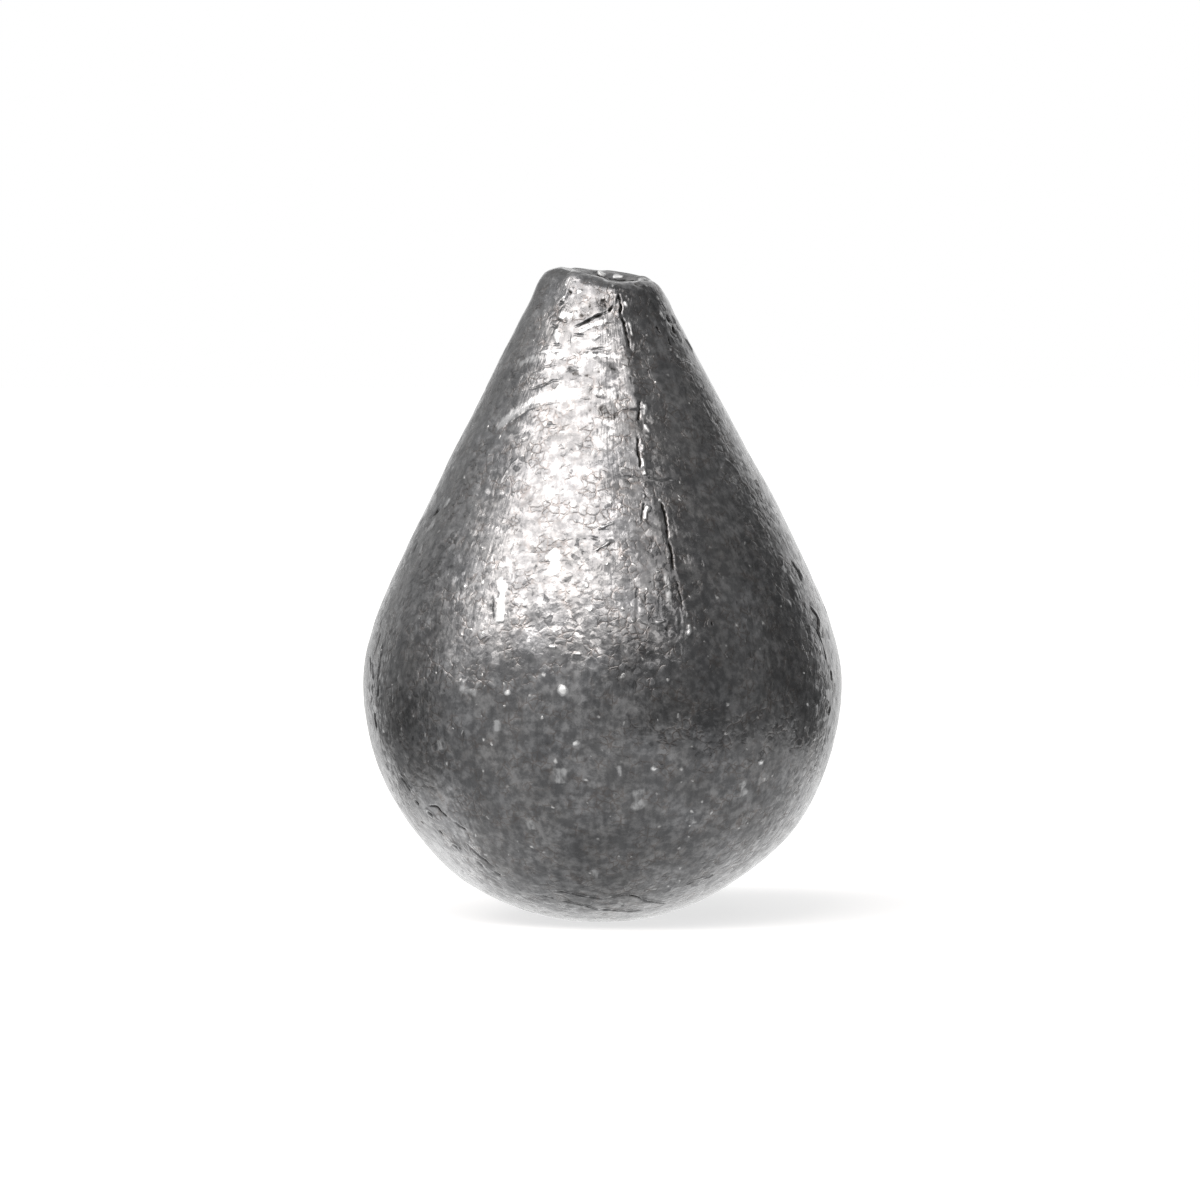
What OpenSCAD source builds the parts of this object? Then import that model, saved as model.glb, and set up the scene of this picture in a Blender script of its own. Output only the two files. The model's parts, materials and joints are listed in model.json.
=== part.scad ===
// Pear-shaped slip sinker, cast in lead in one piece, with a through bore for the line.
// Millimetres, +Z up, origin at the centre of the flat foot.

/* [Body] */
// Diameter at the widest
body_d = 14.4; // [12:0.1:16]
// Height on the axis, from the foot to the cut across the nose
body_h = 19.4; // [17:0.1:26]
// Diameter of the flat foot that it stands on
foot_d = 2.6; // [2.3:0.1:5]

/* [Nose] */
// Diameter of the cone where the nose is cut off
nose_d = 3.4; // [3.2:0.1:5]
// Width of the worn bevel between the side and the cut face
nose_bevel = 0.25; // [0.1:0.05:0.35]
// Slope of the cut face, in degrees
nose_slant = 9; // [0:1:12]
// Where the cut face slopes down to, in degrees from +X towards +Y
slant_turn = -20; // [-180:5:180]

/* [Bore] */
// Diameter of the bore for the line
bore_d = 1.2; // [0.8:0.1:1.3]
// How far the bore lies off the axis, towards +X
bore_shift = 0.4; // [0:0.05:0.4]
// Width of the countersink where the bore leaves the foot
exit_bevel = 0.1; // [0.05:0.05:0.1]

/* [Mouth] */
// Diameter of the shallow dish round the top of the bore
mouth_d = 2.3; // [2.1:0.1:2.4]
// Depth of the dish
mouth_depth = 0.4; // [0.2:0.05:0.5]
// How far the dish lies off the middle of the cut face
mouth_shift = 0.25; // [0:0.05:0.3]

/* [Seam] */
// How far the fin along the mould seam stands proud
seam_h = 0.05; // [0.03:0.01:0.2]
// Width of the fin
seam_w = 0.14; // [0.1:0.01:0.4]
// Turn of the seam about the axis, in degrees from -Y towards +X
seam_turn = 19; // [0:1:180]
// Height over the foot where the fin begins
seam_from = 1.5; // [0.5:0.1:5]

/* [Hidden] */

$fn = 96;
// Cutters run this far past the faces that they cut
overrun = 0.5;
// Steps in the round stretch of the outline
ball_steps = 36;
lead_grey = [0.40, 0.40, 0.41];

body_r = body_d / 2;
foot_r = foot_d / 2;
nose_r = nose_d / 2;
bore_r = bore_d / 2;
mouth_r = mouth_d / 2;

// The lower part is a ball, sunk so that the foot is as wide as foot_d
ball_z = sqrt(body_r * body_r - foot_r * foot_r);
foot_angle = -atan2(ball_z, foot_r);

// The side is a straight cone from the nose, tangent to the ball
nose_rise = body_h - ball_z;
nose_reach = norm([nose_r, nose_rise]);
cone_angle = atan2(nose_rise, nose_r) - acos(body_r / nose_reach);

// From the axis, the sloping cut meets the side sooner uphill than downhill
side_gain = sin(nose_slant) * tan(cone_angle);
face_up = nose_r / (cos(nose_slant) + side_gain);
face_down = nose_r / (cos(nose_slant) - side_gain);
face_shift = (face_down - face_up) / 2;
face_r = (face_down + face_up) / 2 - nose_bevel;
// The bevel leans half way between the side and the cut face
bevel_angle = (90 + cone_angle) / 2;
// The cone runs on past the cut, which slopes, by the reach of the whole nose
nose_spare = nose_d * tan(nose_slant) + overrun;

// A shallow dish is the tip of a large ball
dish_r = (mouth_r * mouth_r + mouth_depth * mouth_depth) / (2 * mouth_depth);

// Half outline of the body, grown outwards all over by the given length
function outline(grow) =
    let (
        side = [cos(cone_angle), sin(cone_angle)],
        along = [-sin(cone_angle), cos(cone_angle)],
        rim = [nose_r, body_h] + grow * side,
        tip = rim + along * nose_spare / cos(cone_angle)
    )
    concat(
        [[0, 0]],
        [for (i = [0 : ball_steps])
            let (a = foot_angle + (cone_angle - foot_angle) * i / ball_steps)
            [(body_r + grow) * cos(a), ball_z + (body_r + grow) * sin(a)]],
        [tip, [0, tip[1]]]
    );

// Places its children in the frame of the cut face, at its middle
module on_cut_face() {
    translate([0, 0, body_h])
        rotate([0, 0, slant_turn])
            rotate([0, nose_slant, 0])
                translate([face_shift, 0, 0])
                    children();
}

// A solid of revolution on the outline
module pear(grow = 0) {
    rotate_extrude()
        polygon(outline(grow));
}

// A thin fin down both sides, where the two halves of the mould met
module seam_fin() {
    intersection() {
        pear(seam_h);
        rotate([0, 0, seam_turn])
            translate([-seam_w / 2, -body_d, seam_from])
                cube([seam_w, 2 * body_d, body_h + nose_spare]);
    }
}

// All that lies under the cut face and inside the worn bevel
module nose_trim() {
    trim_h = 2 * body_h;
    on_cut_face()
        translate([0, 0, -trim_h])
            cylinder(h = trim_h, r1 = face_r + trim_h * tan(bevel_angle), r2 = face_r);
}

// The shallow dish in the cut face
module mouth() {
    on_cut_face()
        translate([mouth_shift, 0, dish_r - mouth_depth])
            sphere(r = dish_r);
}

// The bore from foot to nose, with its edge broken at the foot
module line_bore() {
    translate([bore_shift, 0, -overrun])
        cylinder(h = body_h + nose_spare + 2 * overrun, r = bore_r);
    translate([bore_shift, 0, -overrun])
        cylinder(h = overrun + exit_bevel, r1 = bore_r + exit_bevel + overrun, r2 = bore_r);
}

module lead_body() {
    color(lead_grey)
        difference() {
            intersection() {
                union() {
                    pear();
                    seam_fin();
                }
                nose_trim();
            }
            mouth();
            line_bore();
        }
}

lead_body();
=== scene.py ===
"""Pear-shaped lead fishing sinker: the casting, the camera and a small studio.

The casting stands on its flat foot at the origin with +Z up, and its photographed
side faces -Y. Lengths are in metres. Turns are in degrees about the upright axis,
from -Y towards +X.
"""

import json
import logging
import math
from collections.abc import Callable
from dataclasses import dataclass
from enum import Enum

import bpy
import numpy as np
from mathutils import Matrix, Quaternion, Vector, noise


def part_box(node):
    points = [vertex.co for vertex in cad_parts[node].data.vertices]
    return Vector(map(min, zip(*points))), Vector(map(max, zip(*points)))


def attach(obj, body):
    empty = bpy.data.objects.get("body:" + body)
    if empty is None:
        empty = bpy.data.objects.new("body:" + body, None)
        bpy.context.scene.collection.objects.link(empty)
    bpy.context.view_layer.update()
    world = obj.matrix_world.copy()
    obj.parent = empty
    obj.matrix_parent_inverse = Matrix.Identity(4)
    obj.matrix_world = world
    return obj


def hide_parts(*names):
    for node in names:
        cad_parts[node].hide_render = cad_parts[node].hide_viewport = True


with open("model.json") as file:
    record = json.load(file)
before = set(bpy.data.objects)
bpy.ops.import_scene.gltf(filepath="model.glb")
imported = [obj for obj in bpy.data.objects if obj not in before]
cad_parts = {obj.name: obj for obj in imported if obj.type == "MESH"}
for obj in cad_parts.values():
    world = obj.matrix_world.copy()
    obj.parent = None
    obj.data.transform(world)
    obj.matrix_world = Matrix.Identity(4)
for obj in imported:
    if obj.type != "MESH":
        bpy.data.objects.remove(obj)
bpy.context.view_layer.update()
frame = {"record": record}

MM = 0.001
UP = np.array([0.0, 0.0, 1.0])
# How far the high side of the rim stands above the middle of the cut face
RIM_RISE = 0.21 * MM
log = logging.getLogger("sinker")


def smooth_step(low: float, high: float, value: np.ndarray) -> np.ndarray:
    """Rises smoothly from 0 at low to 1 at high.

    Args:
        low: The value up to which the result is 0.
        high: The value from which the result is 1.
        value: The values to read.

    Returns:
        The result for each value.
    """
    share = np.clip((value - low) / (high - low), 0.0, 1.0)
    return share * share * (3.0 - 2.0 * share)


def toward(turn: np.ndarray) -> np.ndarray:
    """Level unit vectors that point out from the axis at each turn, in radians."""
    return np.stack([np.sin(turn), -np.cos(turn), np.zeros_like(turn)], axis=-1)


def skyward(azimuth: float, elevation: float) -> tuple[float, float, float]:
    """Unit vector that points out from the casting at a turn and an elevation.

    Args:
        azimuth: The turn, in degrees.
        elevation: The angle above level, in degrees.

    Returns:
        The vector's three parts.
    """
    turn, rise = math.radians(azimuth), math.radians(elevation)
    return math.sin(turn) * math.cos(rise), -math.cos(turn) * math.cos(rise), math.sin(rise)


def clear_selection() -> None:
    """Leaves object mode with nothing selected."""
    if bpy.context.object and bpy.context.object.mode != "OBJECT":
        bpy.ops.object.mode_set(mode="OBJECT")
    bpy.ops.object.select_all(action="DESELECT")


class Zone(Enum):
    """The stretches of the casting's skin, in order from the foot end of the bore."""

    COUNTERSINK = "countersink"
    FOOT = "foot"
    BALL = "ball"
    SHOULDER = "shoulder"
    TAPER = "taper"
    RIM = "rim"
    FACE = "face"
    DISH = "dish"
    THROAT = "throat"


KEY_STEPS = {
    Zone.COUNTERSINK: 1,
    Zone.FOOT: 1,
    Zone.BALL: 10,
    Zone.SHOULDER: 6,
    Zone.TAPER: 10,
    Zone.RIM: 1,
    Zone.FACE: 1,
    Zone.DISH: 1,
    Zone.THROAT: 1,
}


def zone_start(zone: Zone) -> int:
    """The station at which a zone begins."""
    zones = list(KEY_STEPS)
    return sum(KEY_STEPS[before] for before in zones[:zones.index(zone)])


@dataclass(frozen=True)
class Outline:
    """The casting's sizes, and where its skin lies at any station and turn."""

    body_r: float
    nose_height: float
    bore_r: float
    bore_x: float
    foot_r: float = 1.3 * MM
    shoulder_r: float = 5.02 * MM
    shoulder_height: float = 12.93 * MM
    waist_reach: float = 1.5 * MM
    shoulder_reach: float = 2.2 * MM
    nose_r: float = 1.65 * MM
    slant: float = 9.0
    slant_turn: float = 70.0
    rim_on_side: float = 0.28 * MM
    rim_on_cut: float = 0.24 * MM
    rim_fullness: float = 0.5
    mouth_r: float = 1.15 * MM
    mouth_depth: float = 0.40 * MM
    mouth_shift: float = 0.28 * MM
    throat_depth: float = 0.35 * MM
    countersink: float = 0.10 * MM
    side_samples: int = 400
    lean_knots: tuple[tuple[float, float], ...] = (
        (0.0, -0.10 * MM),
        (1.0 * MM, -0.06 * MM),
        (2.6 * MM, 0.05 * MM),
        (5.0 * MM, 0.0),
        (12.5 * MM, 0.0),
        (14.5 * MM, -0.07 * MM),
        (18.0 * MM, -0.10 * MM),
        (19.4 * MM, 0.0),
    )

    @property
    def waist_height(self) -> float:
        """Height of the widest ring, which is the middle of the ball."""
        return math.sqrt(self.body_r**2 - self.foot_r**2)

    @property
    def flare(self) -> float:
        """How much the tapered side gains in radius for each length down."""
        return (self.shoulder_r - self.nose_r) / (self.nose_height - self.shoulder_height)

    @property
    def bore_axis(self) -> np.ndarray:
        """Where the bore's axis crosses the floor."""
        return np.array([self.bore_x, 0.0, 0.0])

    @property
    def downhill(self) -> np.ndarray:
        """Level unit vector along which the cut face slopes down."""
        return toward(np.array(math.radians(self.slant_turn)))

    def onto_cut(self, spot: np.ndarray) -> np.ndarray:
        """Lifts spots to the plane of the cut face.

        Args:
            spot: Points whose height is ignored.

        Returns:
            The points on the plane above or below them.
        """
        lifted = spot.copy()
        fall = math.tan(math.radians(self.slant))
        lifted[..., 2] = self.nose_height - fall * (spot @ self.downhill)
        return lifted

    def corner(self, turn: np.ndarray) -> np.ndarray:
        """Where the tapered side would meet the cut face if the rim were sharp."""
        fall = math.tan(math.radians(self.slant))
        facing = toward(turn) @ self.downhill
        radius = self.nose_r / (1.0 - self.flare * fall * facing)
        return self.onto_cut(radius[..., None] * toward(turn))

    def rim_ends(self, turn: np.ndarray) -> tuple[np.ndarray, np.ndarray]:
        """The two ends of the rounded rim.

        Args:
            turn: The turns to work out, in radians.

        Returns:
            The end on the tapered side and the end on the cut face.
        """
        lean = math.atan(self.flare)
        down = toward(turn) * math.sin(lean) - math.cos(lean) * UP
        corner = self.corner(turn)
        return corner + self.rim_on_side * down, self.onto_cut(corner - self.rim_on_cut * toward(turn))

    def mouth_edge(self, turn: np.ndarray) -> np.ndarray:
        """The edge of the dished mouth on the cut face."""
        return self.onto_cut(self.mouth_shift * self.downhill + self.mouth_r * toward(turn))

    def dished(self, spot: np.ndarray) -> np.ndarray:
        """Sinks spots of the cut face to the bottom of the dished mouth."""
        off = spot - self.mouth_shift * self.downhill
        share = np.hypot(off[..., 0], off[..., 1]) / self.mouth_r
        sunk = self.onto_cut(spot)
        sunk[..., 2] -= self.mouth_depth * np.clip(1.0 - share**2, 0.0, 1.0)
        return sunk

    def point(self, station: np.ndarray, turn: np.ndarray) -> np.ndarray:
        """Where the skin lies.

        Args:
            station: How many key rings along the outline each point is.
            turn: The turn of each point, in radians.

        Returns:
            The points, one row each.
        """
        makers: dict[Zone, Callable[[np.ndarray, np.ndarray], np.ndarray]] = {
            Zone.COUNTERSINK: self._countersink,
            Zone.FOOT: self._foot,
            Zone.BALL: self._ball,
            Zone.SHOULDER: self._shoulder,
            Zone.TAPER: self._taper,
            Zone.RIM: self._rim,
            Zone.FACE: self._face,
            Zone.DISH: self._dish,
            Zone.THROAT: self._throat,
        }
        skin = np.zeros(turn.shape + (3,))
        start = 0
        for zone, steps in KEY_STEPS.items():
            here = (station >= start) & (station <= start + steps)
            share = (station[here] - start) / steps
            skin[here] = makers[zone](share[..., None], turn[here])
            start += steps
        return skin

    def radius_at(self, height: np.ndarray) -> np.ndarray:
        """The outer radius at each height between the foot and the nose."""
        station = np.linspace(zone_start(Zone.BALL), zone_start(Zone.TAPER), self.side_samples)
        side = self.point(station, np.zeros_like(station))
        taper = self.nose_r + self.flare * (self.nose_height - height)
        lower = np.interp(height, side[:, 2], -side[:, 1])
        return np.where(height > self.shoulder_height, taper, lower)

    def lean(self, height: np.ndarray) -> np.ndarray:
        """How far the casting leans out of line to the right at each height."""
        shift = np.full_like(height, self.lean_knots[0][1])
        for (low, start), (high, end) in zip(self.lean_knots[:-1], self.lean_knots[1:]):
            shift += (end - start) * smooth_step(low, high, height)
        return shift

    def _countersink(self, share: np.ndarray, turn: np.ndarray) -> np.ndarray:
        """The broken edge where the bore leaves the foot."""
        ring = self.bore_axis + (self.bore_r + share * self.countersink) * toward(turn)
        return ring + (1.0 - share) * self.countersink * UP

    def _foot(self, share: np.ndarray, turn: np.ndarray) -> np.ndarray:
        """The flat foot."""
        inner = self.bore_axis + (self.bore_r + self.countersink) * toward(turn)
        return inner + share * (self.foot_r * toward(turn) - inner)

    def _ball(self, share: np.ndarray, turn: np.ndarray) -> np.ndarray:
        """The ball from the foot up to the waist."""
        angle = (share - 1.0) * math.atan2(self.waist_height, self.foot_r)
        ring = self.body_r * np.cos(angle) * toward(turn)
        return ring + (self.waist_height + self.body_r * np.sin(angle)) * UP

    def _shoulder(self, share: np.ndarray, turn: np.ndarray) -> np.ndarray:
        """The curve that leads from the waist into the tapered side."""
        knots = (
            (self.body_r, self.waist_height),
            (self.body_r, self.waist_height + self.waist_reach),
            (self.shoulder_r + self.flare * self.shoulder_reach, self.shoulder_height - self.shoulder_reach),
            (self.shoulder_r, self.shoulder_height),
        )
        skin = np.zeros(turn.shape + (3,))
        for place, (radius, height) in enumerate(knots):
            weight = math.comb(3, place) * share**place * (1.0 - share) ** (3 - place)
            skin += weight * (radius * toward(turn) + height * UP)
        return skin

    def _taper(self, share: np.ndarray, turn: np.ndarray) -> np.ndarray:
        """The straight side, from the shoulder to the rim."""
        shoulder = self.shoulder_r * toward(turn) + self.shoulder_height * UP
        return shoulder + share * (self.rim_ends(turn)[0] - shoulder)

    def _rim(self, share: np.ndarray, turn: np.ndarray) -> np.ndarray:
        """The worn rim between the side and the cut face."""
        low, high = self.rim_ends(turn)
        corner = (low + high) / 2 + self.rim_fullness * (self.corner(turn) - (low + high) / 2)
        return (1 - share) ** 2 * low + 2 * share * (1 - share) * corner + share**2 * high

    def _face(self, share: np.ndarray, turn: np.ndarray) -> np.ndarray:
        """The cut face between the rim and the mouth."""
        outer = self.rim_ends(turn)[1]
        return outer + share * (self.mouth_edge(turn) - outer)

    def _dish(self, share: np.ndarray, turn: np.ndarray) -> np.ndarray:
        """The dished mouth, from its edge to the bore."""
        edge = self.mouth_edge(turn)
        bore = self.bore_axis + self.bore_r * toward(turn)
        return self.dished(edge + share * (bore - edge))

    def _throat(self, share: np.ndarray, turn: np.ndarray) -> np.ndarray:
        """The first stretch of the bore under the mouth."""
        top = self.dished(self.bore_axis + self.bore_r * toward(turn))
        return top - share * self.throat_depth * UP


@dataclass(frozen=True)
class Wave:
    """A noise pattern: the length of its coarsest waves, its finer layers and their strength."""

    size: float
    detail: float
    roughness: float


class NodeSheet:
    """Adds nodes to one node tree and joins them."""

    def __init__(self, tree: bpy.types.NodeTree) -> None:
        """Empties the tree.

        Args:
            tree: The node tree to fill.
        """
        self.tree = tree
        tree.nodes.clear()

    def add(self, kind: str, **settings: object) -> bpy.types.Node:
        """Adds a node.

        Args:
            kind: The node's type name.
            **settings: Properties of the node to set.

        Returns:
            The new node.
        """
        node = self.tree.nodes.new(kind)
        for name, value in settings.items():
            setattr(node, name, value)
        return node

    def join(self, source: bpy.types.NodeSocket, target: bpy.types.NodeSocket) -> None:
        """Links an output to an input."""
        self.tree.links.new(source, target)

    def feed(self, target: bpy.types.NodeSocket, value: object) -> None:
        """Sets an input to a value, or links it to an output."""
        if isinstance(value, bpy.types.NodeSocket):
            self.join(value, target)
        else:
            target.default_value = value

    def sum(self, operation: str, *values: object) -> bpy.types.NodeSocket:
        """Adds a Math node.

        Args:
            operation: The node's operation.
            *values: Its inputs, as numbers or outputs.

        Returns:
            Its output.
        """
        node = self.add("ShaderNodeMath", operation=operation)
        for place, value in enumerate(values):
            self.feed(node.inputs[place], value)
        return node.outputs[0]

    def span(
        self, value: object, low: object, high: object, to_low: object = 0.0, to_high: object = 1.0
    ) -> bpy.types.NodeSocket:
        """Maps a range of values smoothly to another.

        Args:
            value: The output to read.
            low: Where the range starts.
            high: Where the range ends.
            to_low: The result at its start.
            to_high: The result at its end.

        Returns:
            The mapped output.
        """
        node = self.add("ShaderNodeMapRange", interpolation_type="SMOOTHSTEP")
        names = ("Value", "From Min", "From Max", "To Min", "To Max")
        for name, setting in zip(names, (value, low, high, to_low, to_high)):
            self.feed(node.inputs[name], setting)
        return node.outputs["Result"]

    def vector(self, operation: str, *values: object) -> bpy.types.NodeSocket:
        """Adds a Vector Math node.

        Args:
            operation: The node's operation.
            *values: Its inputs, as triples or outputs.

        Returns:
            Its vector output.
        """
        node = self.add("ShaderNodeVectorMath", operation=operation)
        for place, value in enumerate(values):
            self.feed(node.inputs[place], value)
        return node.outputs["Vector"]

    def distance(
        self, place: bpy.types.NodeSocket, point: tuple[float, float, float]
    ) -> bpy.types.NodeSocket:
        """The distance of a place from a point."""
        node = self.add("ShaderNodeVectorMath", operation="DISTANCE")
        self.join(place, node.inputs[0])
        node.inputs[1].default_value = point
        return node.outputs["Value"]

    def noise(self, place: bpy.types.NodeSocket, wave: Wave) -> bpy.types.NodeSocket:
        """Adds a noise pattern.

        Args:
            place: The coordinates that it reads.
            wave: The pattern.

        Returns:
            Its value, about 0.5 on the whole.
        """
        node = self.add("ShaderNodeTexNoise")
        self.join(place, node.inputs["Vector"])
        node.inputs["Scale"].default_value = 1.0 / wave.size
        node.inputs["Detail"].default_value = wave.detail
        node.inputs["Roughness"].default_value = wave.roughness
        return node.outputs[0]

    def sway(self, place: bpy.types.NodeSocket, size: float, reach: float) -> bpy.types.NodeSocket:
        """Pushes coordinates out of line.

        Args:
            place: The coordinates.
            size: The length of the waves.
            reach: How far they push at most.

        Returns:
            The pushed coordinates.
        """
        waves = self.noise(place, Wave(size, detail=1.0, roughness=0.5)).node.outputs["Color"]
        push = self.vector("MULTIPLY_ADD", waves, (2.0 * reach,) * 3, (-reach,) * 3)
        return self.vector("ADD", place, push)

    def blend(self, factor: object, one: object, other: object) -> bpy.types.NodeSocket:
        """Mixes two colours.

        Args:
            factor: The share of the second colour.
            one: The first colour, as a triple or an output.
            other: The second colour, likewise.

        Returns:
            The mixed colour.
        """
        node = self.add("ShaderNodeMix", data_type="RGBA")
        self.feed(node.inputs[0], factor)
        for socket, colour in zip((node.inputs[6], node.inputs[7]), (one, other)):
            self.feed(socket, (*colour, 1.0) if isinstance(colour, tuple) else colour)
        return node.outputs[2]


@dataclass(frozen=True)
class SkinPattern:
    """The patterns that the finish is mixed from."""

    grain: bpy.types.NodeSocket
    clouds: bpy.types.NodeSocket
    flecks: bpy.types.NodeSocket
    streaks: bpy.types.NodeSocket
    domes: bpy.types.NodeSocket
    creases: bpy.types.NodeSocket
    facets: bpy.types.NodeSocket
    beads: bpy.types.NodeSocket
    pits: bpy.types.NodeSocket
    tints: bpy.types.NodeSocket
    soiled_and_shaded: bpy.types.NodeSocket
    worn: bpy.types.NodeSocket
    polish_and_glint: bpy.types.NodeSocket


@dataclass(frozen=True)
class CastLead:
    """Dull cast lead: a pebbled skin, drawn streaks, specks, dark cracks, painted shade in the mouth and
    bore, rubbed spots and painted glints.
    """

    dark: tuple[float, float, float] = (0.062, 0.063, 0.066)
    light: tuple[float, float, float] = (0.300, 0.299, 0.301)
    # Near-black colour for the dark cracks and pits, and for painted shade in the mouth, under the rims and
    # in the bore
    soil_and_shade: tuple[float, float, float] = (0.013, 0.012, 0.011)
    rubbed: tuple[float, float, float] = (0.400, 0.400, 0.402)
    # Near-white colour of the beads, brighter than lead, so they sparkle where they mirror little light:
    # painted glints, partly clean metal
    bright: tuple[float, float, float] = (0.720, 0.716, 0.706)
    # Near-white colour for rubbing above 1, brighter than lead: painted glints on the mouth, rims and small
    # bumps, partly real polish
    polish_and_glint: tuple[float, float, float] = (0.860, 0.858, 0.852)
    cool: tuple[float, float, float] = (0.970, 0.990, 1.030)
    warm: tuple[float, float, float] = (1.035, 1.000, 0.960)
    crease_tint: tuple[float, float, float] = (1.02, 0.92, 0.86)
    crease_tone: float = 0.5
    tone_shares: tuple[float, float, float] = (0.17, 0.08, 0.57)
    tint: Wave = Wave(1.3 * MM, 3.0, 0.60)
    cloud: Wave = Wave(2.2 * MM, 6.0, 0.62)
    cloud_band: tuple[float, float] = (0.38, 0.64)
    patch: Wave = Wave(1.1 * MM, 2.0, 0.5)
    patch_band: tuple[float, float] = (0.42, 0.60)
    calm: float = 0.65
    fleck: Wave = Wave(0.28 * MM, 3.5, 0.62)
    fleck_band: tuple[float, float] = (0.38, 0.68)
    ragged: float = 0.10 * MM
    frayed: float = 0.03 * MM
    frayed_size: float = 0.3
    grain: Wave = Wave(0.34 * MM, 3.0, 0.55)
    grain_band: tuple[float, float] = (0.3, 0.7)
    grain_height: float = 0.013 * MM
    dome: float = 0.27 * MM
    dome_height: float = 0.0050 * MM
    dome_edge: float = 0.5
    crease_share: float = 0.12
    crease_height: float = 0.004 * MM
    cracked: Wave = Wave(0.54 * MM, 1.0, 0.5)
    cracked_band: tuple[float, float] = (0.42, 0.66)
    streak: Wave = Wave(1.0, 2.0, 0.5)
    streak_band: tuple[float, float] = (0.30, 0.70)
    streak_radius: float = 5.0 * MM
    streak_step: float = 0.9 * MM
    streak_width: float = 0.10 * MM
    streak_length: float = 1.0 * MM
    streak_height: float = 0.002 * MM
    facet: float = 0.20 * MM
    facet_tilt: float = 0.10
    speck_gap: float = 0.34 * MM
    speck_size: float = 0.085 * MM
    least_speck: float = 0.02
    beads_above: float = 0.5
    pits_below: float = 0.4
    pit_share: float = 0.45
    speck_height: float = 0.014 * MM
    soil_shade_base: float = 0.5
    soil_shade_band: tuple[float, float] = (0.15, 0.70)
    worn_shares: tuple[float, float, float] = (0.5, 0.5, 0.5)
    worn_band: tuple[float, float] = (0.20, 0.90)
    polish_glint_band: tuple[float, float] = (1.1, 1.9)
    polish_glint_share: float = 0.9
    roughness: tuple[float, float] = (0.20, 0.34)
    rubbed_roughness: float = 0.26
    rubbed_relief: float = 0.35
    film: float = 0.85
    soiled_shaded_film: float = 0.10
    film_roughness: float = 0.10

    def material(self) -> bpy.types.Material:
        """Builds the finish.

        Returns:
            The material.
        """
        made = bpy.data.materials.new("cast_lead")
        made.use_nodes = True
        sheet = NodeSheet(made.node_tree)
        skin = self._pattern(sheet)
        shader = sheet.add("ShaderNodeBsdfPrincipled")
        shader.inputs["Metallic"].default_value = 1.0
        film = sheet.span(skin.soiled_and_shaded, 0.0, 1.0, self.film, self.soiled_shaded_film)
        sheet.join(film, shader.inputs["Coat Weight"])
        shader.inputs["Coat Roughness"].default_value = self.film_roughness
        sheet.join(self._colour(sheet, skin), shader.inputs["Base Color"])
        sheet.join(self._rough(sheet, skin), shader.inputs["Roughness"])
        normal = self._normal(sheet, skin)
        sheet.join(normal, shader.inputs["Normal"])
        sheet.join(normal, shader.inputs["Coat Normal"])
        out = sheet.add("ShaderNodeOutputMaterial")
        sheet.join(shader.outputs[0], out.inputs["Surface"])
        return made

    def _pattern(self, sheet: NodeSheet) -> SkinPattern:
        """Lays out all the patterns."""
        place = sheet.add("ShaderNodeTexCoord").outputs["Object"]
        ragged = sheet.sway(place, self.dome, self.ragged)
        ragged = sheet.sway(ragged, self.frayed_size * self.dome, self.frayed)
        patches = sheet.span(sheet.noise(place, self.patch), *self.patch_band, self.calm)
        flecks = sheet.span(sheet.noise(place, self.fleck), *self.fleck_band)
        streaks = sheet.span(sheet.noise(self._drawn(sheet), self.streak), *self.streak_band)
        domes = self._domes(sheet, ragged)
        cracked = sheet.span(sheet.noise(place, self.cracked), *self.cracked_band)
        creases = sheet.sum("MULTIPLY", sheet.span(domes, 0.0, self.crease_share, 1.0, 0.0), cracked)
        beads, pits = self._specks(sheet, ragged, patches)
        soiled_and_shaded = sheet.add("ShaderNodeAttribute", attribute_name="soil_and_shade").outputs["Fac"]
        soiled_and_shaded = sheet.sum("MULTIPLY", soiled_and_shaded, sheet.sum("ADD", flecks, self.soil_shade_base))
        rub_and_glint = sheet.add("ShaderNodeAttribute", attribute_name="rub_and_glint").outputs["Fac"]
        worn = self.worn_shares[0]
        for pattern, share in zip((streaks, flecks), self.worn_shares[1:]):
            worn = sheet.sum("MULTIPLY_ADD", pattern, share, worn)
        return SkinPattern(
            grain=sheet.noise(place, self.grain),
            clouds=sheet.span(sheet.noise(place, self.cloud), *self.cloud_band),
            flecks=sheet.sum("MULTIPLY", flecks, patches),
            streaks=streaks,
            domes=domes,
            creases=creases,
            facets=self._facets(sheet, ragged),
            beads=beads,
            pits=pits,
            tints=sheet.noise(place, self.tint),
            soiled_and_shaded=sheet.span(soiled_and_shaded, *self.soil_shade_band),
            worn=sheet.span(sheet.sum("MULTIPLY", worn, rub_and_glint), *self.worn_band),
            polish_and_glint=sheet.span(rub_and_glint, *self.polish_glint_band),
        )

    def _colour(self, sheet: NodeSheet, skin: SkinPattern) -> bpy.types.NodeSocket:
        """Mottled grey, lighter where it is rubbed, near white at painted glints and beads, and near black
        in dark cracks and pits and at painted shade.
        """
        tone = 0.0
        for pattern, share in zip((skin.clouds, skin.streaks, skin.flecks), self.tone_shares):
            tone = sheet.sum("MULTIPLY_ADD", pattern, share, tone)
        tone = sheet.sum("MULTIPLY", tone, sheet.sum("MULTIPLY_ADD", skin.creases, -self.crease_tone, 1.0))
        colour = sheet.blend(tone, self.dark, self.light)
        colour = sheet.vector("MULTIPLY", colour, sheet.blend(skin.creases, (1.0,) * 3, self.crease_tint))
        colour = sheet.vector("MULTIPLY", colour, sheet.blend(skin.tints, self.cool, self.warm))
        colour = sheet.blend(skin.worn, colour, self.rubbed)
        # Beads go towards a near-white colour: painted glints, partly clean metal
        colour = sheet.blend(skin.beads, colour, self.bright)
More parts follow.
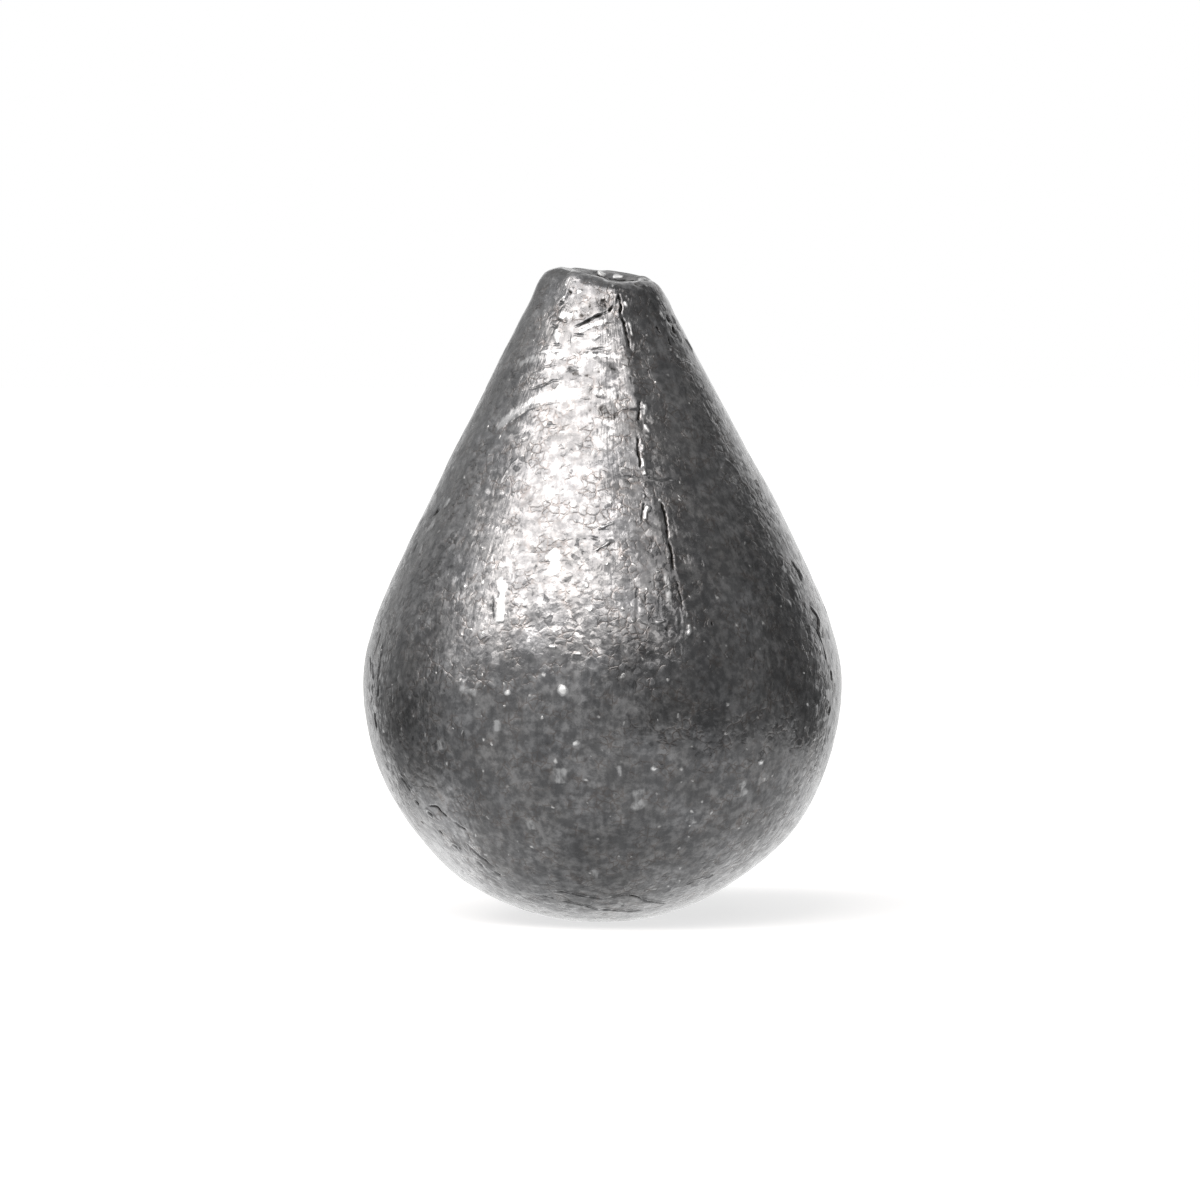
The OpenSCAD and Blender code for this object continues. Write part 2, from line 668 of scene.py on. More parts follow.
        # Rubbing above 1 goes towards near white: painted glints, partly real polish
        colour = sheet.blend(sheet.sum("MULTIPLY", skin.polish_and_glint, self.polish_glint_share), colour, self.polish_and_glint)
        # Near black in the dark cracks and pits, and as painted shade in the mouth, under the rims and in
        # the bore
        return sheet.blend(sheet.sum("MAXIMUM", skin.soiled_and_shaded, skin.pits), colour, self.soil_and_shade)

    def _rough(self, sheet: NodeSheet, skin: SkinPattern) -> bpy.types.NodeSocket:
        """Roughness that wanders with the grain and is even where the lead is rubbed."""
        rough = sheet.span(skin.grain, *self.grain_band, *self.roughness)
        return sheet.span(skin.worn, 0.0, 1.0, rough, self.rubbed_roughness)

    def _normal(self, sheet: NodeSheet, skin: SkinPattern) -> bpy.types.NodeSocket:
        """The fine relief of the skin, flatter where the lead is rubbed."""
        height = sheet.sum("MULTIPLY", skin.grain, self.grain_height)
        reliefs = (
            (sheet.span(skin.domes, 0.0, self.dome_edge), self.dome_height),
            (skin.creases, -self.crease_height),
            (skin.streaks, self.streak_height),
            (skin.beads, self.speck_height),
            (skin.pits, -self.speck_height),
        )
        for pattern, step in reliefs:
            height = sheet.sum("MULTIPLY_ADD", pattern, step, height)
        relief = sheet.span(skin.worn, 0.0, 1.0, 1.0, self.rubbed_relief)
        tilt = sheet.vector("SCALE", skin.facets)
        sheet.join(sheet.sum("MULTIPLY", relief, self.facet_tilt), tilt.node.inputs["Scale"])
        normal = sheet.add("ShaderNodeNewGeometry").outputs["Normal"]
        bump = sheet.add("ShaderNodeBump")
        bump.inputs["Distance"].default_value = self.grain_height
        sheet.join(sheet.sum("MULTIPLY", height, 1.0 / self.grain_height), bump.inputs["Height"])
        sheet.join(relief, bump.inputs["Strength"])
        sheet.join(sheet.vector("NORMALIZE", sheet.vector("ADD", normal, tilt)), bump.inputs["Normal"])
        return bump.outputs[0]

    def _drawn(self, sheet: NodeSheet) -> bpy.types.NodeSocket:
        """Coordinates that follow the skin, short across it and long down it, for the drawn streaks."""
        heading = sheet.add("ShaderNodeAttribute", attribute_name="heading").outputs["Vector"]
        station = sheet.add("ShaderNodeAttribute", attribute_name="station").outputs["Fac"]
        around = sheet.vector("SCALE", heading)
        around.node.inputs["Scale"].default_value = self.streak_radius / self.streak_width
        along = sheet.add("ShaderNodeCombineXYZ")
        step = self.streak_step / self.streak_length
        sheet.join(sheet.sum("MULTIPLY", station, step), along.inputs["Z"])
        return sheet.vector("ADD", around, along.outputs[0])

    def _domes(self, sheet: NodeSheet, place: bpy.types.NodeSocket) -> bpy.types.NodeSocket:
        """Small domes, as the distance from the creases between them."""
        cells = sheet.add("ShaderNodeTexVoronoi", feature="DISTANCE_TO_EDGE")
        sheet.join(place, cells.inputs["Vector"])
        cells.inputs["Scale"].default_value = 1.0 / self.dome
        return cells.outputs["Distance"]

    def _facets(self, sheet: NodeSheet, place: bpy.types.NodeSocket) -> bpy.types.NodeSocket:
        """A lean of its own for each small crystal of the cast skin, mostly slight."""
        cells = sheet.add("ShaderNodeTexVoronoi")
        sheet.join(place, cells.inputs["Vector"])
        cells.inputs["Scale"].default_value = 1.0 / self.facet
        lean = sheet.vector("MULTIPLY_ADD", cells.outputs["Color"], (2.0,) * 3, (-1.0,) * 3)
        return sheet.vector("MULTIPLY", lean, sheet.vector("MULTIPLY", lean, lean))

    def _specks(
        self, sheet: NodeSheet, place: bpy.types.NodeSocket, patches: bpy.types.NodeSocket
    ) -> tuple[bpy.types.NodeSocket, bpy.types.NodeSocket]:
        """Sparse spots of many sizes, some bright beads and some dark pits."""
        cells = sheet.add("ShaderNodeTexVoronoi")
        sheet.join(place, cells.inputs["Vector"])
        cells.inputs["Scale"].default_value = 1.0 / self.speck_gap
        chance = sheet.add("ShaderNodeSeparateColor")
        sheet.join(cells.outputs["Color"], chance.inputs[0])
        most = self.speck_size / self.speck_gap
        reach = sheet.sum("MULTIPLY_ADD", chance.outputs[1], most, self.least_speck)
        spot = sheet.span(cells.outputs["Distance"], 0.0, reach, 1.0, 0.0)
        beads = sheet.sum("GREATER_THAN", chance.outputs[0], self.beads_above)
        beads = sheet.sum("MULTIPLY", beads, patches)
        pits = sheet.sum("LESS_THAN", chance.outputs[0], self.pits_below)
        pits = sheet.sum("MULTIPLY", pits, self.pit_share)
        return sheet.sum("MULTIPLY", spot, beads), sheet.sum("MULTIPLY", spot, pits)


# Lengths in millimetres, and shares of a mark's width or of the casting's radius
PATH_STEP = 0.12
SWAY_LENGTH = 0.45
SWELL_LENGTH = 0.25
REACH_SHARE = 3.0
REACH_MARGIN = 0.5
LIP_PLACE = 1.3
LIP_WIDTH = 0.9
FLAT_EDGE = 0.35
EDGE_SHARE = 0.999
# Keeps a path of one point from being divided by nothing
LEAST_RUN = 1e-18


class Profile(Enum):
    """How a mark rises or falls from its edge to its middle."""

    ROUND = "round"
    CREASE = "crease"
    FLAT = "flat"

    def rise(self, share: np.ndarray) -> np.ndarray:
        """The rise at each share of the way from the middle to the edge."""
        near = np.clip(1.0 - share, 0.0, 1.0)
        if self is Profile.CREASE:
            return near**2
        if self is Profile.FLAT:
            return smooth_step(0.0, FLAT_EDGE, near)
        return near**2 * (3.0 - 2.0 * near)


class Seat(Enum):
    """Where a mark lies."""

    SIDE = "side"
    CUT = "cut"


@dataclass(frozen=True)
class Mark:
    """One mark on the skin, along a path.

    On the side, the path's points are millimetres across, to the right as seen from that
    side, and millimetres up from the foot. On the cut face they are millimetres in plan.
    The other lengths are millimetres too.
    """

    path: tuple[tuple[float, float], ...]
    width: float
    lift: float = 0.0
    lip: float = 0.0
    profile: Profile = Profile.ROUND
    soil_and_shade: float = 0.0
    rub_and_glint: float = 0.0
    facing: float = 0.0
    taper: float = 0.2
    wander: float = 0.0
    uneven: float = 0.35
    seat: Seat = Seat.SIDE

    def spots(self, outline: Outline) -> np.ndarray:
        """The path's points on the skin, close enough together to follow its curve."""
        points = np.array(self.path)
        reach = np.concatenate([[0.0], np.cumsum(np.hypot(*np.diff(points, axis=0).T))])
        walk = np.linspace(0.0, reach[-1], max(2, int(reach[-1] / PATH_STEP) + 1))
        across = np.interp(walk, reach, points[:, 0])
        up = np.interp(walk, reach, points[:, 1])
        for place, step in enumerate(walk):
            sway = noise.noise_vector(Vector((step / SWAY_LENGTH, self.path[0][1], self.facing)))
            across[place] += self.wander * sway.x
            up[place] += self.wander * sway.y
        if self.seat is Seat.CUT:
            return outline.dished(np.stack([across, up, np.zeros_like(up)], axis=1) * MM)
        height = up * MM
        radius = outline.radius_at(height)
        out = across * MM - outline.lean(height) * math.cos(math.radians(self.facing))
        turn = math.radians(self.facing) + np.arcsin(np.clip(out / radius, -EDGE_SHARE, EDGE_SHARE))
        return radius[:, None] * toward(turn) + height[:, None] * UP

    def measure(
        self, skin: np.ndarray, outline: Outline
    ) -> tuple[np.ndarray, np.ndarray, np.ndarray, np.ndarray]:
        """Measures each point of the skin against the path.

        Args:
            skin: The points to measure.
            outline: The outline on which the path lies.

        Returns:
            The numbers of the points near the path, and for each of them its distance
            from the path, the side it is on, and its share of the way along.
        """
        spots = self.spots(outline)
        margin = (REACH_SHARE * self.width + REACH_MARGIN) * MM
        near = np.all((skin > spots.min(axis=0) - margin) & (skin < spots.max(axis=0) + margin), axis=1)
        numbers = np.flatnonzero(near)
        points = skin[numbers]
        outward = points * (1.0 - UP) if self.seat is Seat.SIDE else UP
        best = np.full(len(points), np.inf)
        side = np.zeros(len(points))
        along = np.zeros(len(points))
        for place, (start, end) in enumerate(zip(spots[:-1], spots[1:])):
            run = end - start
            share = np.clip((points - start) @ run / max(run @ run, LEAST_RUN), 0.0, 1.0)
            off = points - start - share[:, None] * run
            away = np.linalg.norm(off, axis=1)
            closer = away < best
            best[closer] = away[closer]
            hand = (np.cross(run, off) * outward).sum(axis=1)
            side[closer] = np.sign(hand[closer])
            along[closer] = (place + share[closer]) / (len(spots) - 1)
        return numbers, best / MM, side, along

    def work(self, skin: np.ndarray, outline: Outline, coat: "SkinCoat") -> None:
        """Adds the mark's lift, its darkening (dark cracks, and painted shade in the mouth and under the
        rims) and its rubbing (wear, and painted glints above 1) to the coat.

        Args:
            skin: The points of the skin.
            outline: The outline on which the path lies.
            coat: The coat that gathers what all marks do.
        """
        numbers, away, side, along = self.measure(skin, outline)
        ends = np.ones_like(along)
        if len(self.path) > 1 and self.taper > 0.0:
            ends = smooth_step(0.0, self.taper, along) * smooth_step(0.0, self.taper, 1.0 - along)
        lengths = along * len(self.spots(outline)) * PATH_STEP
        start = self.path[0][0]
        swell = [noise.noise(Vector((length / SWELL_LENGTH, start, self.facing))) for length in lengths]
        share = away / (self.width * (1.0 + self.uneven * np.array(swell)))
        rise = self.profile.rise(share) * ends
        ridge = Profile.ROUND.rise(np.abs(share - LIP_PLACE) / LIP_WIDTH) * (side > 0.0) * ends
        coat.lift[numbers] += (self.lift * rise + self.lip * ridge) * MM
        # Darkening: dark cracks, and painted shade in the mouth and under the rims
        coat.soil_and_shade[numbers] = np.maximum(coat.soil_and_shade[numbers], self.soil_and_shade * rise)
        # Rubbing: wear, and above 1 painted glints on small bumps and rims
        coat.rub_and_glint[numbers] = np.maximum(coat.rub_and_glint[numbers], self.rub_and_glint * rise)


@dataclass
class SkinCoat:
    """What the marks do at each point of the skin."""

    lift: np.ndarray
    soil_and_shade: np.ndarray
    rub_and_glint: np.ndarray

    @classmethod
    def bare(cls, count: int) -> "SkinCoat":
        """A coat with no marks on a number of points."""
        return cls(np.zeros(count), np.zeros(count), np.zeros(count))


MOULD_SEAM = (
    Mark(((0.45, 18.95), (0.65, 17.20), (1.02, 15.45)), 0.55, 0.045, profile=Profile.CREASE, taper=0.03),
    Mark(((0.98, 15.60), (1.28, 13.45), (1.72, 12.00), (2.40, 10.25), (2.62, 8.20)), 0.45, 0.022,
         profile=Profile.CREASE, taper=0.1),
    Mark(((0.48, 18.92), (0.54, 18.55), (0.58, 18.20)), 0.055, -0.08, soil_and_shade=1.5, taper=0.3),
    Mark(((0.57, 18.25), (0.66, 17.85), (0.76, 17.50), (0.84, 17.15)), 0.070, -0.08, soil_and_shade=1.6,
         taper=0.25),
    Mark(((1.08, 15.80), (1.10, 15.10)), 0.060, -0.04, soil_and_shade=1.3),
    Mark(((1.02, 14.80), (1.08, 14.15), (1.18, 13.60)), 0.055, -0.035, soil_and_shade=1.3, uneven=0.6),
    Mark(((0.60, 13.56), (1.30, 13.52)), 0.045, -0.03, soil_and_shade=0.6),
    Mark(((1.30, 13.52), (2.10, 13.40)), 0.045, -0.04, lip=0.01, soil_and_shade=0.3),
    Mark(((1.25, 13.45), (1.22, 12.85)), 0.06, 0.02, rub_and_glint=0.6),
    # A small bump with a painted glint
    Mark(((1.34, 12.70), (1.28, 12.50), (1.28, 12.28)), 0.095, 0.04, rub_and_glint=2.0, taper=0.1, uneven=0.7),
    Mark(((1.22, 12.80), (1.17, 12.20)), 0.055, -0.04, soil_and_shade=0.9),
    Mark(((1.70, 13.00), (1.82, 12.60), (1.90, 12.00), (2.05, 11.10), (2.15, 10.55)), 0.085, -0.032,
         soil_and_shade=1.6, taper=0.25, uneven=0.4),
    Mark(((2.12, 10.70), (2.28, 10.05), (2.34, 9.60)), 0.050, -0.02, soil_and_shade=1.2, taper=0.3),
    Mark(((2.02, 12.20), (2.12, 11.40), (2.26, 10.70), (2.40, 10.15)), 0.060, 0.004, rub_and_glint=0.3, taper=0.4,
         uneven=0.7),
    Mark(((1.55, 12.20), (1.48, 11.60), (1.28, 11.05)), 0.060, -0.010, soil_and_shade=0.35, taper=0.4),
    Mark(((1.85, 10.85), (1.95, 10.20), (1.95, 9.60)), 0.18, 0.012, rub_and_glint=0.95, uneven=0.6),
    Mark(((1.66, 10.40), (1.72, 9.20)), 0.070, -0.010, soil_and_shade=0.35, taper=0.4),
    Mark(((1.02, 10.60), (1.05, 9.20)), 0.090, -0.015, soil_and_shade=0.25, taper=0.4),
    Mark(((2.16, 9.80), (2.20, 9.00), (2.20, 8.20)), 0.045, 0.010, rub_and_glint=0.6, taper=0.4, uneven=0.6),
    Mark(((2.36, 9.70), (2.36, 8.80), (2.34, 7.60)), 0.050, 0.012, rub_and_glint=0.9, taper=0.35, uneven=0.6),
    Mark(((2.28, 9.80), (2.28, 8.20)), 0.040, -0.03, soil_and_shade=0.6, taper=0.4),
)

PRESS_MARKS = (
    Mark(((-2.90, 16.66), (-2.20, 16.90), (-1.50, 17.04), (-0.85, 17.10)), 0.25, -0.012, rub_and_glint=0.9,
         taper=0.35, uneven=0.8),
    Mark(((-1.95, 17.10), (-1.50, 17.20), (-1.00, 17.20)), 0.10, 0.012, rub_and_glint=1.3, uneven=0.8),
    Mark(((-1.00, 17.12), (-0.60, 17.06), (-0.10, 17.08), (0.35, 17.02), (0.85, 17.00)), 0.15, -0.012,
         rub_and_glint=0.85, taper=0.3, wander=0.03, uneven=1.0),
    Mark(((0.60, 17.02), (1.60, 17.00)), 0.08, -0.012, rub_and_glint=0.6, uneven=0.7),
    Mark(((-1.95, 17.26), (-1.50, 17.37), (-1.00, 17.36)), 0.050, -0.03, soil_and_shade=0.6, taper=0.4),
    Mark(((-0.40, 17.20), (0.15, 17.30)), 0.050, -0.03, soil_and_shade=0.5, taper=0.4),
    Mark(((-2.30, 16.45), (-1.70, 16.72), (-1.10, 16.80)), 0.050, -0.02, soil_and_shade=0.3, taper=0.4),
    Mark(((-3.40, 14.55), (-2.90, 15.15), (-2.10, 15.70), (-1.25, 15.96), (-0.40, 16.00)), 0.32, -0.016,
         rub_and_glint=0.95, taper=0.25, uneven=0.6),
    Mark(((-2.45, 15.58), (-1.80, 15.88), (-1.10, 16.02), (-0.50, 16.06)), 0.16, 0.010, rub_and_glint=1.15,
         uneven=0.8),
    Mark(((-0.60, 16.04), (0.10, 16.00), (0.90, 15.85)), 0.26, -0.012, rub_and_glint=0.7, taper=0.3, uneven=0.7),
    Mark(((-3.25, 14.42), (-2.85, 15.02), (-2.15, 15.50), (-1.25, 15.76), (0.10, 15.78)), 0.045, -0.018,
         soil_and_shade=0.4, taper=0.3, uneven=0.6),
    Mark(((-2.40, 16.00), (-1.90, 16.16), (-1.40, 16.34), (-1.00, 16.34)), 0.055, -0.03, soil_and_shade=0.6,
         taper=0.4, uneven=0.6),
    Mark(((-0.95, 16.62), (-0.75, 16.42)), 0.26, -0.02, soil_and_shade=0.65, taper=0.0, uneven=0.8),
    Mark(((-0.50, 16.45), (-0.15, 16.60)), 0.22, -0.015, soil_and_shade=0.5, taper=0.0, uneven=0.8),
    Mark(((0.28, 16.74), (0.42, 16.68)), 0.18, -0.02, soil_and_shade=0.65, taper=0.0, uneven=0.8),
    Mark(((-0.10, 16.25), (-0.05, 15.88)), 0.070, -0.02, soil_and_shade=0.4, taper=0.4),
    Mark(((-0.60, 15.55), (0.05, 15.42), (0.65, 15.30)), 0.42, -0.010, soil_and_shade=0.50, uneven=0.9),
)

NOSE_MARKS = (
    Mark(((-1.40, 19.20), (1.40, 19.20)), 0.95, 0.115, facing=270.0, taper=0.45, uneven=0.1),
    Mark(((-0.50, 18.95), (0.50, 18.95)), 0.45, -0.05, facing=90.0, taper=0.1, uneven=0.1),
    Mark(((-0.88, 17.82), (-0.52, 18.04), (-0.25, 18.18), (0.05, 18.29), (0.20, 18.34)), 0.056, -0.07,
         soil_and_shade=0.95, taper=0.2, wander=0.05, uneven=0.7),
    Mark(((0.14, 18.28), (0.28, 18.48), (0.38, 18.60), (0.50, 18.82)), 0.052, -0.06, soil_and_shade=0.95,
         taper=0.2, wander=0.05, uneven=0.7),
    Mark(((-0.95, 17.80), (-1.00, 17.40), (-0.90, 17.12)), 0.080, -0.025, soil_and_shade=0.4, taper=0.4,
         uneven=0.7),
    Mark(((-1.60, 18.12), (-1.20, 18.10), (-0.95, 18.00)), 0.060, -0.03, soil_and_shade=0.5, taper=0.4,
         wander=0.06),
    Mark(((-1.60, 17.90), (-1.35, 17.84)), 0.080, -0.03, soil_and_shade=0.5, taper=0.3),
    Mark(((-0.90, 17.66), (-0.45, 17.62)), 0.070, -0.03, soil_and_shade=0.5, taper=0.4, wander=0.05),
    Mark(((-1.22, 18.64), (-1.18, 18.60)), 0.075, -0.04, soil_and_shade=0.9, taper=0.0),
    Mark(((-1.00, 18.95), (-0.90, 18.90)), 0.080, -0.03, soil_and_shade=0.6, taper=0.0),
    Mark(((-0.48, 18.40), (-0.20, 18.56), (0.14, 18.62)), 0.40, -0.015, soil_and_shade=0.62, taper=0.1,
         uneven=0.8),
    Mark(((-0.62, 18.25), (-0.40, 18.22)), 0.24, -0.010, soil_and_shade=0.5, taper=0.0, uneven=0.8),
    Mark(((-1.38, 18.12), (-1.10, 18.30), (-0.85, 18.16)), 0.19, 0.015, rub_and_glint=1.05, uneven=0.8),
    Mark(((-1.42, 17.85), (-1.32, 17.32)), 0.12, 0.015, rub_and_glint=1.0, uneven=0.8),
    Mark(((-0.76, 17.66), (-0.35, 17.88), (-0.05, 18.02), (0.28, 18.08)), 0.13, 0.015, rub_and_glint=0.90,
         uneven=0.8),
    Mark(((-0.36, 17.52), (-0.05, 17.62), (0.16, 17.78)), 0.10, 0.015, rub_and_glint=0.80, uneven=0.8),
    Mark(((-0.75, 18.90), (-0.58, 18.96)), 0.10, 0.015, rub_and_glint=1.3, uneven=0.8),
    Mark(((-1.20, 18.76), (-1.08, 18.82)), 0.070, 0.015, rub_and_glint=0.8, uneven=0.8),
    Mark(((0.00, 18.66), (0.06, 18.80)), 0.075, 0.015, rub_and_glint=0.7, uneven=0.8),
    # Small bumps on the nose's right: those with rubbing above 1 are painted glints
    Mark(((0.66, 18.62), (0.72, 18.48)), 0.080, 0.030, rub_and_glint=1.8, taper=0.0, uneven=0.7),
    Mark(((0.70, 18.80), (0.78, 18.70)), 0.055, 0.020, rub_and_glint=0.7, taper=0.0),
    Mark(((0.78, 18.10), (0.86, 17.85), (0.92, 17.55)), 0.085, 0.025, rub_and_glint=1.6, uneven=0.9),
    Mark(((1.00, 17.45), (0.92, 17.10)), 0.060, 0.020, rub_and_glint=0.6, uneven=0.8),
    Mark(((1.35, 17.35), (1.42, 17.05)), 0.055, 0.015, rub_and_glint=0.5),
    Mark(((1.74, 18.24), (1.80, 18.14)), 0.10, 0.045, rub_and_glint=2.0, taper=0.0, uneven=0.8),
    Mark(((2.13, 18.10), (2.18, 18.00)), 0.11, 0.045, rub_and_glint=2.0, taper=0.0, uneven=0.8),
    Mark(((1.92, 17.94), (2.02, 17.82)), 0.10, 0.040, rub_and_glint=2.0, taper=0.0, uneven=0.8),
    Mark(((2.26, 17.68), (2.34, 17.46)), 0.12, 0.045, rub_and_glint=1.8, taper=0.0, uneven=0.8),
    Mark(((1.94, 18.10), (1.98, 18.02)), 0.12, -0.04, soil_and_shade=1.1, taper=0.0, uneven=0.8),
    Mark(((2.10, 17.80), (2.16, 17.66)), 0.13, -0.04, soil_and_shade=1.2, taper=0.0, uneven=0.8),
    Mark(((1.40, 18.70), (1.36, 18.45)), 0.06, 0.020, rub_and_glint=0.6, uneven=0.8),
    Mark(((1.80, 18.20), (1.95, 17.75), (2.20, 17.35)), 0.16, 0.015, rub_and_glint=0.8, uneven=1.0, wander=0.08),
    Mark(((1.60, 17.90), (1.75, 17.60)), 0.07, -0.03, soil_and_shade=0.8, uneven=0.8),
    Mark(((2.00, 17.55), (2.05, 17.30)), 0.10, -0.03, soil_and_shade=1.0, uneven=0.8),
    Mark(((2.50, 17.42), (2.66, 17.16)), 0.11, 0.040, rub_and_glint=1.4, taper=0.0, uneven=0.9),
    # Painted shade under the rim, and a painted glint on the bead beside it
    Mark(((0.92, 19.14), (1.14, 19.12), (1.32, 19.02)), 0.11, -0.012, soil_and_shade=0.8, uneven=0.6),
    Mark(((1.34, 19.10), (1.37, 19.09)), 0.085, 0.030, rub_and_glint=2.6, taper=0.0),
)

# The mouth's marks: lifts and hollows of the worn rim, painted highlights where the far wall and the rims
# catch the light, and painted shade deeper in the dish and under the rims
MOUTH_MARKS = (
    Mark(((-0.10, -1.45), (0.40, -1.42), (0.85, -1.25)), 0.42, -0.060, taper=0.3, seat=Seat.CUT,
         uneven=0.2),
    Mark(((-1.10, -1.10), (-0.75, -1.35), (-0.40, -1.48)), 0.40, 0.070, taper=0.3, seat=Seat.CUT,
         uneven=0.2),
    Mark(((-1.50, -0.45), (-1.42, 0.50), (-0.95, 1.20)), 0.50, -0.040, taper=0.15, seat=Seat.CUT,
         uneven=0.2),
    Mark(((-0.10, 1.58), (0.60, 1.48), (1.15, 1.15), (1.55, 0.50)), 0.45, 0.075, taper=0.2,
         seat=Seat.CUT, uneven=0.2),
    Mark(((1.05, -1.25), (1.40, -0.85), (1.62, -0.20)), 0.42, 0.040, taper=0.2, seat=Seat.CUT,
         uneven=0.2),
    Mark(((-1.30, -0.60), (-1.16, -0.98), (-0.78, -1.33), (-0.42, -1.49)), 0.080, 0.0, rub_and_glint=1.3,
         seat=Seat.CUT),
    Mark(((-0.05, -1.54), (0.35, -1.52), (0.70, -1.40), (1.00, -1.20)), 0.085, 0.0, rub_and_glint=2.0,
         seat=Seat.CUT),
    Mark(((0.78, -1.40), (0.95, -1.18), (1.10, -0.90), (1.25, -0.55)), 0.120, 0.020, rub_and_glint=2.2,
         seat=Seat.CUT),
    Mark(((1.02, 0.58), (1.34, 0.46)), 0.20, 0.010, rub_and_glint=2.4, seat=Seat.CUT),
    # Painted highlights on the far wall of the mouth
    Mark(((-0.17, 0.92), (0.15, 0.92)), 0.115, 0.042, rub_and_glint=3.2, taper=0.15, seat=Seat.CUT, uneven=0.7),
    Mark(((0.32, 0.94), (0.66, 0.93)), 0.110, 0.045, rub_and_glint=3.2, taper=0.15, seat=Seat.CUT, uneven=0.7),
    # Painted shade: the dark depth of the dish below the far wall, at its sides and along the rims
    Mark(((-0.15, 0.77), (0.10, 0.78)), 0.100, -0.03, soil_and_shade=1.8, taper=0.1, seat=Seat.CUT),
    Mark(((0.16, 0.78), (0.74, 0.76)), 0.105, -0.03, soil_and_shade=1.8, taper=0.1, seat=Seat.CUT),
    Mark(((0.74, 0.70), (0.96, 0.62)), 0.11, -0.01, soil_and_shade=0.6, seat=Seat.CUT),
    Mark(((-0.84, 0.78), (-0.58, 0.92)), 0.30, -0.02, soil_and_shade=1.3, taper=0.0, seat=Seat.CUT),
    Mark(((-0.50, 1.12), (0.15, 1.28)), 0.17, 0.0, soil_and_shade=0.9, seat=Seat.CUT),
    Mark(((0.95, -1.40), (1.20, -1.20)), 0.12, -0.03, soil_and_shade=0.8, seat=Seat.CUT),
)

